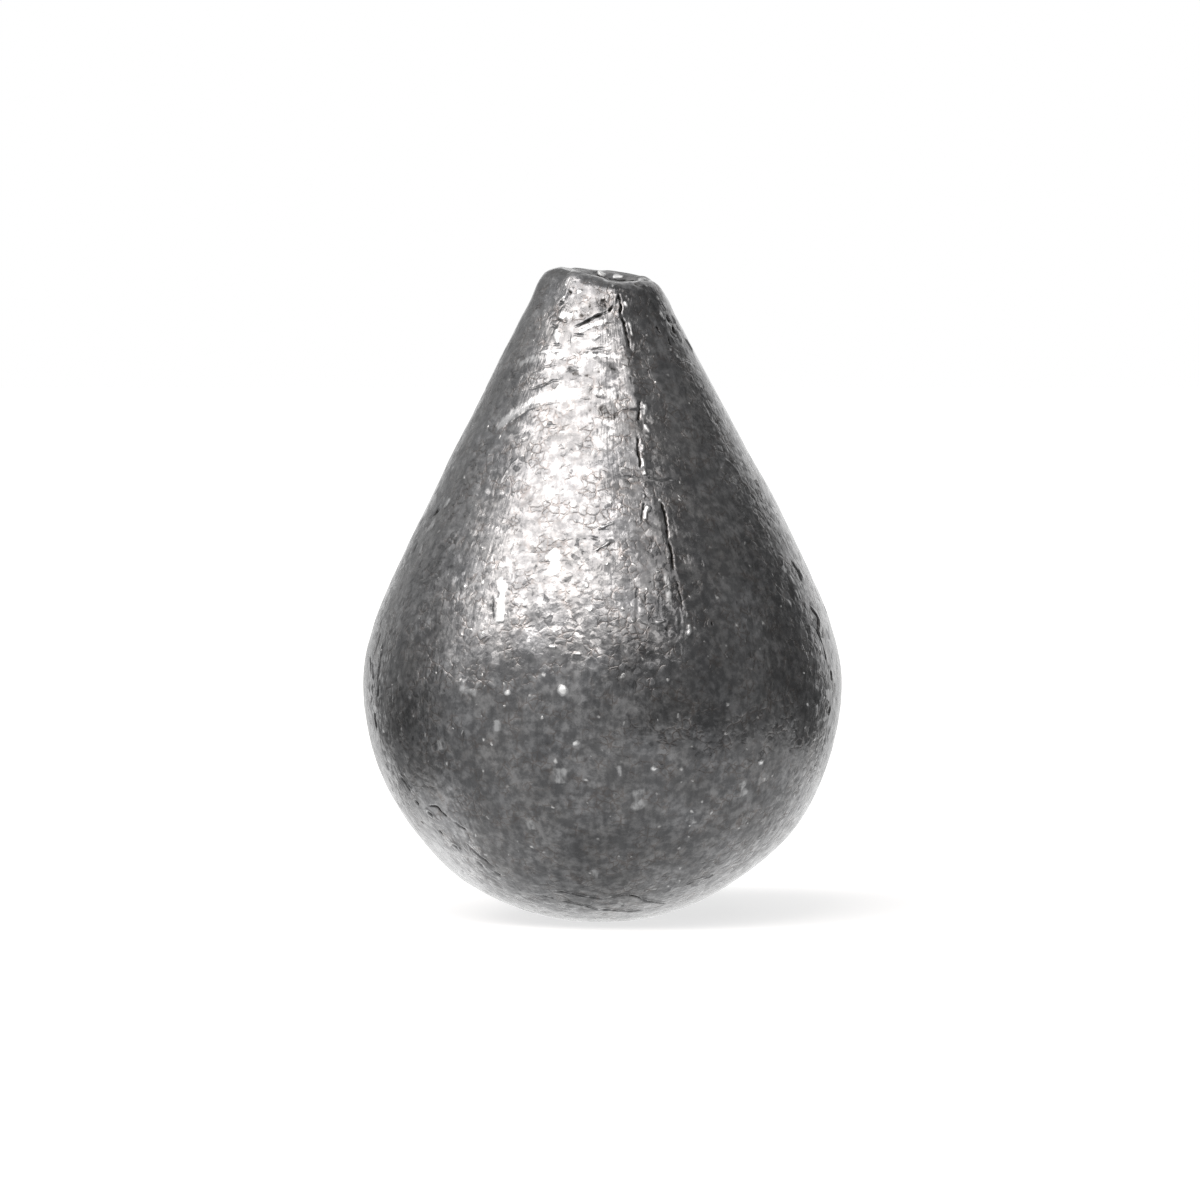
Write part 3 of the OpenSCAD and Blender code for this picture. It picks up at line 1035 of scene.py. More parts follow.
# Side marks: rubbing above 1 on small bumps gives painted glints
SIDE_MARKS = (
    Mark(((-3.00, 10.70), (-2.98, 10.00), (-3.04, 9.30)), 0.21, 0.012, rub_and_glint=1.5, uneven=0.9),
    Mark(((-2.96, 9.75), (-3.02, 9.30)), 0.17, 0.015, rub_and_glint=2.2, uneven=0.8),
    Mark(((-3.22, 10.25), (-3.22, 9.30)), 0.060, -0.03, soil_and_shade=0.5, taper=0.3),
    Mark(((-1.46, 11.50), (-1.42, 11.10), (-1.42, 10.70)), 0.28, 0.008, rub_and_glint=1.25, taper=0.1, uneven=0.9),
    Mark(((-0.40, 11.86), (0.02, 11.72)), 0.065, -0.025, soil_and_shade=0.5, taper=0.4, uneven=0.9),
    Mark(((-0.20, 12.05), (0.45, 12.25)), 0.070, 0.018, rub_and_glint=0.6, taper=0.3, uneven=0.8),
    Mark(((-0.35, 11.36), (0.35, 11.74)), 0.090, 0.018, rub_and_glint=0.6, taper=0.3, uneven=0.8),
    Mark(((-3.05, 13.25), (-2.80, 13.72), (-2.40, 14.15)), 0.065, 0.015, rub_and_glint=0.5, taper=0.3, uneven=0.8),
    Mark(((-3.70, 13.15), (-3.72, 12.95)), 0.10, 0.020, rub_and_glint=0.6, taper=0.0, uneven=0.9),
    Mark(((1.25, 15.60), (1.27, 15.35)), 0.085, 0.030, rub_and_glint=1.9, taper=0.0, uneven=0.7),
    Mark(((1.30, 15.02), (1.36, 14.85)), 0.085, 0.030, rub_and_glint=1.9, taper=0.0, uneven=0.7),
    Mark(((1.17, 14.42), (1.20, 14.25)), 0.065, 0.025, rub_and_glint=0.8, taper=0.0, uneven=0.7),
    Mark(((1.20, 14.00), (1.27, 13.60)), 0.080, 0.030, rub_and_glint=1.8, taper=0.0, uneven=0.8),
    Mark(((1.68, 15.90), (1.70, 15.82)), 0.060, 0.025, rub_and_glint=0.6, taper=0.0),
    Mark(((2.55, 9.22), (2.56, 8.98)), 0.080, 0.030, rub_and_glint=1.6, taper=0.0, uneven=0.7),
    Mark(((2.74, 9.12), (2.76, 9.06)), 0.060, 0.025, rub_and_glint=0.6, taper=0.0),
    Mark(((1.55, 9.30), (1.85, 9.38)), 0.080, 0.025, rub_and_glint=0.8, uneven=0.8),
    Mark(((1.85, 9.18), (1.95, 9.05)), 0.080, -0.03, soil_and_shade=0.8),
    # Round beads with painted glints
    Mark(((-2.86, 7.30), (-2.78, 7.32)), 0.095, 0.030, rub_and_glint=2.4, taper=0.0, uneven=0.7),
    Mark(((-1.20, 7.40), (-1.13, 7.38)), 0.180, 0.050, rub_and_glint=2.8, taper=0.0, uneven=0.6),
    Mark(((-0.80, 5.80), (-0.76, 5.82)), 0.115, 0.045, rub_and_glint=2.8, taper=0.0, uneven=0.7),
    Mark(((1.53, 5.05), (1.57, 5.05)), 0.110, 0.045, rub_and_glint=2.8, taper=0.0, uneven=0.7),
    Mark(((4.62, 5.15), (4.68, 5.15)), 0.110, 0.045, rub_and_glint=2.6, taper=0.0, uneven=0.7),
    Mark(((-1.55, 8.60), (-1.40, 8.60)), 0.065, 0.022, rub_and_glint=0.7, taper=0.0),
    Mark(((-0.85, 8.45), (-0.70, 8.45)), 0.065, 0.022, rub_and_glint=0.7, taper=0.0),
    Mark(((2.50, 9.60), (2.52, 9.50)), 0.050, 0.015, rub_and_glint=0.6, taper=0.0),
    Mark(((3.25, 9.30), (3.27, 9.20)), 0.060, -0.02, soil_and_shade=0.6, taper=0.0),
    Mark(((3.90, 9.90), (3.92, 9.80)), 0.060, 0.015, rub_and_glint=0.6, taper=0.0),
    Mark(((3.48, 10.70), (3.56, 10.55)), 0.080, 0.015, rub_and_glint=0.6, taper=0.0, uneven=0.9),
    Mark(((2.90, 11.10), (2.95, 10.95)), 0.055, -0.02, soil_and_shade=0.6, taper=0.0),
    Mark(((4.20, 8.75), (4.24, 8.65)), 0.060, 0.015, rub_and_glint=0.7, taper=0.0),
    Mark(((3.50, 14.10), (3.95, 13.65), (4.40, 13.05)), 0.10, 0.012, rub_and_glint=0.5, wander=0.10, uneven=1.0),
    Mark(((2.90, 15.70), (3.25, 15.10), (3.55, 14.50)), 0.10, 0.012, rub_and_glint=0.5, wander=0.10, uneven=1.0),
)

SCUFFS = (
    Mark(((-3.15, 6.55), (-3.12, 6.05)), 0.26, 0.014, rub_and_glint=0.95, uneven=0.9),
    Mark(((-1.27, 5.15), (-1.22, 4.55)), 0.28, 0.014, rub_and_glint=0.95, uneven=0.9),
    Mark(((1.02, 4.50), (1.08, 3.70)), 0.28, 0.014, rub_and_glint=0.95, uneven=0.9),
    Mark(((4.10, 4.60), (4.20, 4.00)), 0.28, 0.014, rub_and_glint=0.95, uneven=0.9),
    Mark(((-0.25, 1.95), (-0.15, 1.55)), 0.24, 0.014, rub_and_glint=0.85, uneven=0.9),
    Mark(((-4.85, 5.80), (-4.70, 5.40)), 0.24, 0.014, rub_and_glint=0.85, uneven=0.9),
    Mark(((-4.30, 7.35), (-3.60, 7.20)), 0.16, 0.014, rub_and_glint=0.95, uneven=0.9),
    Mark(((0.45, 5.20), (0.55, 4.80)), 0.22, 0.012, rub_and_glint=0.75, uneven=0.9),
    Mark(((2.55, 3.65), (2.65, 3.25)), 0.22, 0.012, rub_and_glint=0.80, uneven=0.9),
    Mark(((-2.20, 3.60), (-2.10, 3.10)), 0.24, 0.012, rub_and_glint=0.80, uneven=0.9),
)

RIM_MARKS = (
    Mark(((-4.78, 12.68), (-4.95, 12.40), (-5.18, 12.08)), 0.15, -0.045, soil_and_shade=1.0, taper=0.5, uneven=0.7,
         wander=0.06),
    Mark(((-4.88, 12.30), (-5.08, 11.98), (-5.32, 11.66)), 0.15, 0.035, rub_and_glint=1.4, taper=0.5, uneven=0.9,
         wander=0.06),
    Mark(((-4.52, 12.85), (-4.74, 12.45)), 0.11, 0.030, rub_and_glint=1.2, taper=0.3, uneven=0.8),
    Mark(((-5.32, 11.60), (-5.42, 11.25), (-5.52, 10.95)), 0.12, 0.025, rub_and_glint=1.3, taper=0.5, uneven=0.9),
    Mark(((-5.50, 11.50), (-5.72, 11.05)), 0.12, -0.03, soil_and_shade=0.7, uneven=0.7),
    Mark(((-6.30, 9.60), (-6.60, 9.10), (-6.65, 8.65), (-6.75, 8.25), (-6.90, 7.95), (-6.95, 7.70)),
         0.08, -0.03, soil_and_shade=0.6, taper=0.5, wander=0.05, uneven=1.0),
    Mark(((-6.55, 8.55), (-6.60, 8.15), (-6.70, 7.70), (-6.72, 7.30)), 0.09, 0.035, rub_and_glint=0.8, uneven=0.7),
    Mark(((-6.90, 7.85), (-6.86, 7.35)), 0.10, 0.035, rub_and_glint=1.0),
    Mark(((-6.95, 8.00), (-6.90, 7.50)), 0.09, -0.03, soil_and_shade=0.7),
    Mark(((-6.70, 7.30), (-6.72, 6.80)), 0.10, -0.03, soil_and_shade=0.6, wander=0.06, uneven=0.9),
    Mark(((-6.80, 6.40), (-6.76, 5.90)), 0.10, -0.03, soil_and_shade=0.5, wander=0.06, uneven=0.9),
    Mark(((-6.05, 4.55), (-5.70, 4.10)), 0.09, -0.04, lip=0.02, soil_and_shade=0.8, wander=0.06),
    Mark(((-5.25, 3.75), (-4.85, 3.65), (-4.55, 3.35)), 0.07, -0.03, soil_and_shade=0.6, wander=0.08, uneven=1.0),
    Mark(((-4.60, 3.40), (-4.30, 3.15), (-4.00, 3.05)), 0.06, -0.03, soil_and_shade=0.6, wander=0.08, uneven=1.0),
    Mark(((-3.95, 2.50), (-3.60, 2.20), (-3.15, 1.85)), 0.06, -0.03, soil_and_shade=0.6, wander=0.08, uneven=1.0),
    Mark(((-5.55, 3.80), (-5.50, 3.75)), 0.09, -0.035, soil_and_shade=0.8, taper=0.0),
    Mark(((-5.15, 3.45), (-5.08, 3.40)), 0.10, -0.035, lip=0.02, soil_and_shade=0.8, taper=0.0),
    Mark(((-4.85, 2.90), (-4.80, 2.86)), 0.08, -0.03, soil_and_shade=0.8, taper=0.0),
    Mark(((-4.40, 2.50), (-4.34, 2.46)), 0.09, -0.03, lip=0.02, soil_and_shade=0.8, taper=0.0),
    Mark(((-3.65, 2.00), (-3.55, 1.92)), 0.10, -0.035, lip=0.02, soil_and_shade=0.8, taper=0.0),
    Mark(((-3.20, 1.75), (-3.05, 1.66)), 0.09, -0.03, soil_and_shade=0.8, taper=0.0),
    Mark(((-5.40, 3.15), (-5.35, 3.10)), 0.07, -0.03, soil_and_shade=0.7, taper=0.0),
    Mark(((6.15, 9.60), (6.35, 9.25), (6.45, 8.80), (6.55, 8.40)), 0.10, -0.03, lip=0.02, soil_and_shade=0.6,
         wander=0.08, uneven=1.0),
    Mark(((6.45, 9.75), (6.65, 9.45), (6.75, 9.15)), 0.10, -0.04, soil_and_shade=0.8, wander=0.05, uneven=0.8),
    Mark(((6.60, 8.40), (6.68, 7.95)), 0.10, 0.03, rub_and_glint=0.9),
    Mark(((6.78, 7.70), (6.86, 7.25)), 0.10, -0.02, lip=0.02, soil_and_shade=0.5, wander=0.06, uneven=0.9),
    Mark(((6.80, 6.60), (6.76, 6.20)), 0.10, -0.02, lip=0.02, soil_and_shade=0.5, wander=0.06, uneven=0.9),
    Mark(((5.60, 10.40), (5.66, 10.28)), 0.12, 0.025, rub_and_glint=0.8, taper=0.0, uneven=0.9),
    Mark(((5.75, 10.00), (5.80, 9.90)), 0.10, 0.025, rub_and_glint=0.8, taper=0.0, uneven=0.9),
    Mark(((5.90, 10.60), (5.97, 10.45)), 0.12, 0.025, rub_and_glint=0.8, taper=0.0, uneven=0.9),
    Mark(((5.52, 9.75), (5.60, 9.62)), 0.09, 0.02, rub_and_glint=0.6, taper=0.0, uneven=0.9),
    Mark(((5.60, 10.95), (5.80, 10.60), (6.00, 10.20)), 0.10, -0.03, soil_and_shade=0.6, wander=0.06, uneven=0.8),
)

FOOT_MARKS = (
    Mark(((-1.50, 1.15), (-1.10, 1.10), (-0.45, 1.00), (0.10, 0.90)), 0.060, -0.05, lip=0.015, soil_and_shade=0.8,
         wander=0.06, uneven=0.7),
    Mark(((0.10, 0.90), (0.75, 1.05), (1.40, 0.80), (1.95, 0.65)), 0.055, -0.05, lip=0.015, soil_and_shade=0.8,
         wander=0.06, uneven=0.7),
    Mark(((-1.85, 1.00), (-1.45, 0.90)), 0.050, -0.03, soil_and_shade=0.6),
    Mark(((-1.30, 0.80), (-0.65, 0.70), (0.00, 0.50)), 0.070, -0.05, lip=0.015, soil_and_shade=0.8, wander=0.05,
         uneven=0.8),
    Mark(((-0.05, 0.55), (0.70, 0.45), (1.25, 0.45)), 0.075, -0.05, lip=0.015, soil_and_shade=0.9, wander=0.04,
         uneven=0.8),
    Mark(((2.30, 1.25), (2.90, 1.45), (3.25, 1.55), (3.30, 1.75)), 0.055, -0.04, lip=0.01, soil_and_shade=0.6,
         wander=0.06, uneven=0.8),
)

BACK_MARKS = (
    Mark(((0.0, 18.9), (0.1, 15.5), (-0.1, 12.5), (0.15, 9.0), (0.0, 5.0), (0.1, 1.6)), 0.45, 0.045,
         profile=Profile.CREASE, facing=199.0, taper=0.04, wander=0.05),
    Mark(((0.05, 17.6), (0.15, 16.2), (0.1, 15.4)), 0.055, -0.07, lip=0.02, soil_and_shade=0.9, facing=199.0,
         wander=0.04),
    Mark(((0.1, 11.9), (-0.05, 10.8), (0.2, 9.6)), 0.055, -0.07, lip=0.02, soil_and_shade=0.9, facing=199.0,
         wander=0.05),
    Mark(((-1.6, 15.2), (-0.6, 15.6), (0.7, 15.5), (1.7, 15.1)), 0.14, -0.012, rub_and_glint=0.5, taper=0.5,
         facing=165.0, wander=0.06, uneven=1.0),
    Mark(((1.2, 10.9), (1.5, 10.2), (1.4, 9.3)), 0.09, -0.05, lip=0.02, soil_and_shade=0.5, facing=120.0,
         wander=0.06),
    Mark(((-1.1, 6.9), (-0.7, 6.4), (-0.8, 5.9)), 0.07, -0.05, lip=0.02, soil_and_shade=0.6, facing=250.0,
         wander=0.06),
    Mark(((-2.0, 12.6), (-1.6, 12.9), (-1.1, 12.9)), 0.10, -0.02, rub_and_glint=0.8, facing=235.0),
    Mark(((0.4, 3.6), (0.9, 3.3), (1.6, 3.4)), 0.06, -0.05, lip=0.02, soil_and_shade=0.6, facing=150.0,
         wander=0.06),
)

ALL_MARKS = (
    MOULD_SEAM
    + PRESS_MARKS
    + NOSE_MARKS
    + MOUTH_MARKS
    + SIDE_MARKS
    + SCUFFS
    + RIM_MARKS
    + FOOT_MARKS
    + BACK_MARKS
)


@dataclass(frozen=True)
class LeadCasting:
    """The one piece of the sinker, modelled as a turned blank and then worked."""

    outline: Outline
    finish: CastLead
    marks: tuple[Mark, ...] = ALL_MARKS
    columns: int = 160
    ring_samples: int = 36
    rows_per_step: int = 6
    finer_passes: int = 4
    finest_face: float = 0.034
    coarsest_face: float = 1.0
    step_slack: float = 0.01
    face_share: float = 0.48
    fine_reach: float = 1.35
    coarsening: float = 0.9
    bore_margin: float = 0.30 * MM
    # How far up the dished mouth the painted shade of the bore reaches, in stations
    mouth_shade: float = 0.80
    noise_seed: int = 3
    skin_waves: tuple[tuple[float, float], ...] = (
        (3.4 * MM, 0.030 * MM),
        (1.1 * MM, 0.012 * MM),
        (0.45 * MM, 0.008 * MM),
    )
    ragged_waves: tuple[tuple[float, float], ...] = (
        (0.55 * MM, 0.060 * MM),
        (0.16 * MM, 0.030 * MM),
    )

    def build(self) -> bpy.types.Object:
        """Makes the casting and dresses it.

        Returns:
            The finished piece.
        """
        noise.seed_set(self.noise_seed)
        piece = self._turn_blank()
        self._cut_rows(piece)
        self._true_up(piece)
        for _ in range(self.finer_passes):
            self._refine(piece)
            self._true_up(piece)
        self._sculpt(piece)
        piece.data.materials.clear()
        piece.data.materials.append(self.finish.material())
        return piece

    def _turn_blank(self) -> bpy.types.Object:
        """Extrudes a ring of the bore along the key rings of the outline.

        Returns:
            The blank, a closed skin with level rings, each vertex marked with its station.
        """
        clear_selection()
        key_count = sum(KEY_STEPS.values()) + 1
        station = np.repeat(np.arange(key_count, dtype=float), self.ring_samples)
        turn = np.linspace(0.0, 2.0 * math.pi, self.ring_samples, endpoint=False)
        turn = np.tile(turn, key_count)
        around = self.outline.point(station, turn).reshape(key_count, self.ring_samples, 3)
        heights = around[..., 2].mean(axis=1)
        spread = around - around.mean(axis=1, keepdims=True)
        radii = np.hypot(spread[..., 0], spread[..., 1]).mean(axis=1)

        bpy.ops.mesh.primitive_circle_add(
            vertices=self.columns, radius=radii[0], location=(0.0, 0.0, heights[0])
        )
        piece = bpy.context.object
        piece.name = piece.data.name = "lead_casting"
        bpy.ops.object.transform_apply(location=True, rotation=True, scale=True)
        bpy.ops.object.mode_set(mode="EDIT")
        bpy.ops.mesh.select_all(action="SELECT")
        for ring in range(1, key_count):
            bpy.ops.mesh.extrude_edges_move(
                TRANSFORM_OT_translate={"value": (0.0, 0.0, heights[ring] - heights[ring - 1])}
            )
            grow = radii[ring] / radii[ring - 1]
            bpy.ops.transform.resize(value=(grow, grow, 1.0), center_override=(0.0, 0.0, heights[ring]))
        bpy.ops.object.mode_set(mode="OBJECT")

        mark = piece.data.attributes.new("station", "FLOAT", "POINT")
        mark.data.foreach_set("value", np.repeat(np.arange(key_count, dtype=np.float32), self.columns))
        flat = self._skin(piece) * (1.0 - UP)
        flat /= np.linalg.norm(flat, axis=1, keepdims=True)
        mark = piece.data.attributes.new("heading", "FLOAT_VECTOR", "POINT")
        mark.data.foreach_set("vector", flat.astype(np.float32).ravel())
        self._select_edges(piece, lambda one, two: (one == two) & ((one == 0) | (one == key_count - 1)))
        bpy.ops.object.mode_set(mode="EDIT")
        bpy.ops.mesh.bridge_edge_loops()
        bpy.ops.mesh.select_all(action="SELECT")
        bpy.ops.mesh.normals_make_consistent(inside=False)
        bpy.ops.object.mode_set(mode="OBJECT")
        return piece

    def _skin(self, piece: bpy.types.Object) -> np.ndarray:
        """The place of each vertex."""
        spots = np.empty(3 * len(piece.data.vertices), dtype=np.float32)
        piece.data.vertices.foreach_get("co", spots)
        return spots.reshape(-1, 3).astype(float)

    def _stations(self, piece: bpy.types.Object) -> np.ndarray:
        """The station of each vertex."""
        values = np.empty(len(piece.data.vertices), dtype=np.float32)
        piece.data.attributes["station"].data.foreach_get("value", values)
        return values.astype(float)

    def _turns(self, piece: bpy.types.Object) -> np.ndarray:
        """The turn of each vertex, in radians."""
        values = np.empty(3 * len(piece.data.vertices), dtype=np.float32)
        piece.data.attributes["heading"].data.foreach_get("vector", values)
        heading = values.reshape(-1, 3).astype(float)
        return np.arctan2(heading[:, 0], -heading[:, 1])

    def _select_edges(
        self, piece: bpy.types.Object, wanted: Callable[[np.ndarray, np.ndarray], np.ndarray]
    ) -> None:
        """Selects edges by the stations of their two ends, and goes to edge selection.

        Args:
            piece: The piece to select in.
            wanted: Says, for the stations of the ends, which edges to select.
        """
        mesh = piece.data
        ends = np.empty(2 * len(mesh.edges), dtype=np.int32)
        mesh.edges.foreach_get("vertices", ends)
        station = self._stations(piece)[ends].reshape(-1, 2)
        bpy.ops.object.mode_set(mode="EDIT")
        bpy.ops.mesh.select_mode(type="EDGE")
        bpy.ops.mesh.select_all(action="DESELECT")
        bpy.ops.object.mode_set(mode="OBJECT")
        mesh.edges.foreach_set("select", wanted(station[:, 0], station[:, 1]))

    def _cut_rows(self, piece: bpy.types.Object) -> None:
        """Cuts each stretch between key rings into rows."""
        self._select_edges(piece, lambda one, two: np.abs(np.abs(one - two) - 1.0) < self.step_slack)
        bpy.ops.object.mode_set(mode="EDIT")
        bpy.ops.mesh.subdivide(number_cuts=self.rows_per_step - 1)
        bpy.ops.object.mode_set(mode="OBJECT")

    def _refine(self, piece: bpy.types.Object) -> None:
        """Divides the faces that are too coarse for the marks near them."""
        skin = self._skin(piece)
        wanted = np.full(len(skin), self.coarsest_face)
        for mark in self.marks:
            numbers, away, _, _ = mark.measure(skin, self.outline)
            size = max(self.face_share * mark.width, self.finest_face)
            size = size + self.coarsening * np.maximum(away - self.fine_reach * mark.width, 0.0)
            wanted[numbers] = np.minimum(wanted[numbers], size)
        mesh = piece.data
        area = np.empty(len(mesh.polygons))
        mesh.polygons.foreach_get("area", area)
        corners = np.empty(len(mesh.loops), dtype=np.int32)
        mesh.loops.foreach_get("vertex_index", corners)
        first = np.empty(len(mesh.polygons), dtype=np.int32)
        mesh.polygons.foreach_get("loop_start", first)
        coarse = np.sqrt(area) / MM > np.minimum.reduceat(wanted[corners], first)
        station = self._stations(piece)[corners]
        coarse &= np.maximum.reduceat(station, first) - np.minimum.reduceat(station, first) < 2.0
        bpy.ops.object.mode_set(mode="EDIT")
        bpy.ops.mesh.select_mode(type="FACE")
        bpy.ops.mesh.select_all(action="DESELECT")
        bpy.ops.object.mode_set(mode="OBJECT")
        mesh.polygons.foreach_set("select", coarse)
        bpy.ops.object.mode_set(mode="EDIT")
        bpy.ops.mesh.subdivide(number_cuts=1, ngon=False)
        bpy.ops.object.mode_set(mode="OBJECT")
        log.info("%s: %d faces divided", piece.name, int(coarse.sum()))

    def _true_up(self, piece: bpy.types.Object) -> None:
        """Moves each vertex to where the outline says that its station and turn lie."""
        skin = self.outline.point(self._stations(piece), self._turns(piece))
        piece.data.vertices.foreach_set("co", skin.astype(np.float32).ravel())
        piece.data.update()

    def _raggedness(self, spots: np.ndarray) -> np.ndarray:
        """Small sways that keep the marks from looking ruled."""
        sway = np.zeros_like(spots)
        for length, reach in self.ragged_waves:
            sway += reach * np.array([noise.noise_vector(Vector(spot / length)) for spot in spots])
        return sway

    def _shade_bore(self, piece: bpy.types.Object, coat: SkinCoat) -> None:
        """Paints shade in the bore, which begins part of the way down the mouth, and at the bore's foot end.
        """
        station = self._stations(piece)
        throat = zone_start(Zone.THROAT)
        top = smooth_step(throat - self.mouth_shade, throat, station)
        foot = 1.0 - smooth_step(0.0, zone_start(Zone.FOOT), station)
        coat.soil_and_shade = np.maximum(coat.soil_and_shade, np.maximum(top, foot))

    def _sculpt(self, piece: bpy.types.Object) -> None:
        """Works the cast skin: its waves, its lean and its marks."""
        mesh = piece.data
        spots = self._skin(piece)
        normals = np.empty(3 * len(mesh.vertices), dtype=np.float32)
        mesh.vertices.foreach_get("normal", normals)
        coat = SkinCoat.bare(len(spots))
        ragged = spots + self._raggedness(spots)
        for mark in self.marks:
            mark.work(ragged, self.outline, coat)
        self._shade_bore(piece, coat)
        for length, height in self.skin_waves:
            coat.lift += height * np.array([noise.noise(Vector(spot / length)) for spot in spots])
        off_bore = np.hypot(spots[:, 0] - self.outline.bore_x, spots[:, 1])
        outside = smooth_step(self.outline.bore_r, self.outline.bore_r + self.bore_margin, off_bore)
        worked = spots + (outside * coat.lift)[:, None] * normals.reshape(-1, 3)
        worked[:, 0] += outside * self.outline.lean(spots[:, 2])
        worked[:, 2] = np.maximum(worked[:, 2], 0.0)
        mesh.vertices.foreach_set("co", worked.astype(np.float32).ravel())
        for name, values in (("soil_and_shade", coat.soil_and_shade), ("rub_and_glint", coat.rub_and_glint)):
            stored = mesh.attributes.new(name, "FLOAT", "POINT")
            stored.data.foreach_set("value", values.astype(np.float32))
        mesh.update()
        clear_selection()
        piece.select_set(True)
        bpy.context.view_layer.objects.active = piece
        bpy.ops.object.shade_smooth()


@dataclass(frozen=True)
class PhotoCamera:
    """The camera at the photograph's place."""

    distance: float = 0.300
    elevation: float = 3.5
    frame_width: float = 36.08 * MM
    aim: tuple[float, float, float] = (-0.07 * MM, 0.0, 9.6 * MM)
    sensor: float = 36.0
    nearest: float = 0.01
    farthest: float = 10.0

    def build(self) -> bpy.types.Object:
        """Makes the camera and gives it to the scene.

        Returns:
            The camera.
        """
        tilt = math.radians(self.elevation)
        aim = Vector(self.aim)
        place = aim + self.distance * Vector((0.0, -math.cos(tilt), math.sin(tilt)))
        bpy.ops.object.camera_add(location=place, rotation=(math.pi / 2 - tilt, 0.0, 0.0))
        camera = bpy.context.object
        camera.name = "photo_camera"
        camera.data.sensor_width = self.sensor
        camera.data.lens = self.sensor * self.distance / self.frame_width
        camera.data.clip_start = self.nearest
        camera.data.clip_end = self.farthest
        bpy.context.scene.camera = camera
        return camera


@dataclass(frozen=True)
class SoftBox:
    """One soft lamp of the studio."""

    name: str
    azimuth: float
    elevation: float
    distance: float
    width: float
    height: float
    radiance: float
    tint: tuple[float, float, float] = (1.0, 1.0, 1.0)
    roll: float = 0.0

    def build(self, aim: Vector) -> bpy.types.Object:
        """Makes the lamp, facing a point.

        Args:
            aim: The point that it faces.

        Returns:
            The lamp.
        """
        out = Vector(skyward(self.azimuth, self.elevation))
        bpy.ops.object.light_add(type="AREA", location=aim + self.distance * out)
        lamp = bpy.context.object
        lamp.name = self.name
        rolled = Quaternion((0.0, 0.0, 1.0), math.radians(self.roll))
        lamp.rotation_euler = (out.to_track_quat("Z", "Y") @ rolled).to_euler()
        lamp.data.shape = "RECTANGLE"
        lamp.data.size, lamp.data.size_y = self.width, self.height
        lamp.data.energy = self.radiance * math.pi * self.width * self.height
        lamp.data.color = self.tint
        lamp.visible_camera = False
        return lamp


@dataclass(frozen=True)
class Lobe:
    """A darker or brighter part of the surround, as the casting mirrors it.

    The reach holds how nearly a direction agrees with the lobe's middle, from where the
    lobe begins to where it is full.
    """

    level: float
    azimuth: float
    elevation: float
    reach: tuple[float, float]

    def share(self, sheet: NodeSheet, direction: bpy.types.NodeSocket) -> bpy.types.NodeSocket:
        """The brightness in each direction, 1 outside the lobe."""
        facing = sheet.add("ShaderNodeVectorMath", operation="DOT_PRODUCT")
        sheet.join(direction, facing.inputs[0])
        facing.inputs[1].default_value = skyward(self.azimuth, self.elevation)
        return sheet.span(facing.outputs["Value"], *self.reach, 1.0, self.level)


@dataclass(frozen=True)
class FloorPatch:
    """A round patch of the floor that is darker or brighter, as the casting mirrors it.

    The reach holds how far from its middle it is full, and how far from it it ends.
    """

    level: float
    centre: tuple[float, float]
    reach: tuple[float, float]

    def share(self, sheet: NodeSheet, spot: bpy.types.NodeSocket) -> bpy.types.NodeSocket:
        """The brightness at each spot of the floor, 1 outside the patch."""
        return sheet.span(sheet.distance(spot, (*self.centre, 0.0)), *self.reach, self.level, 1.0)


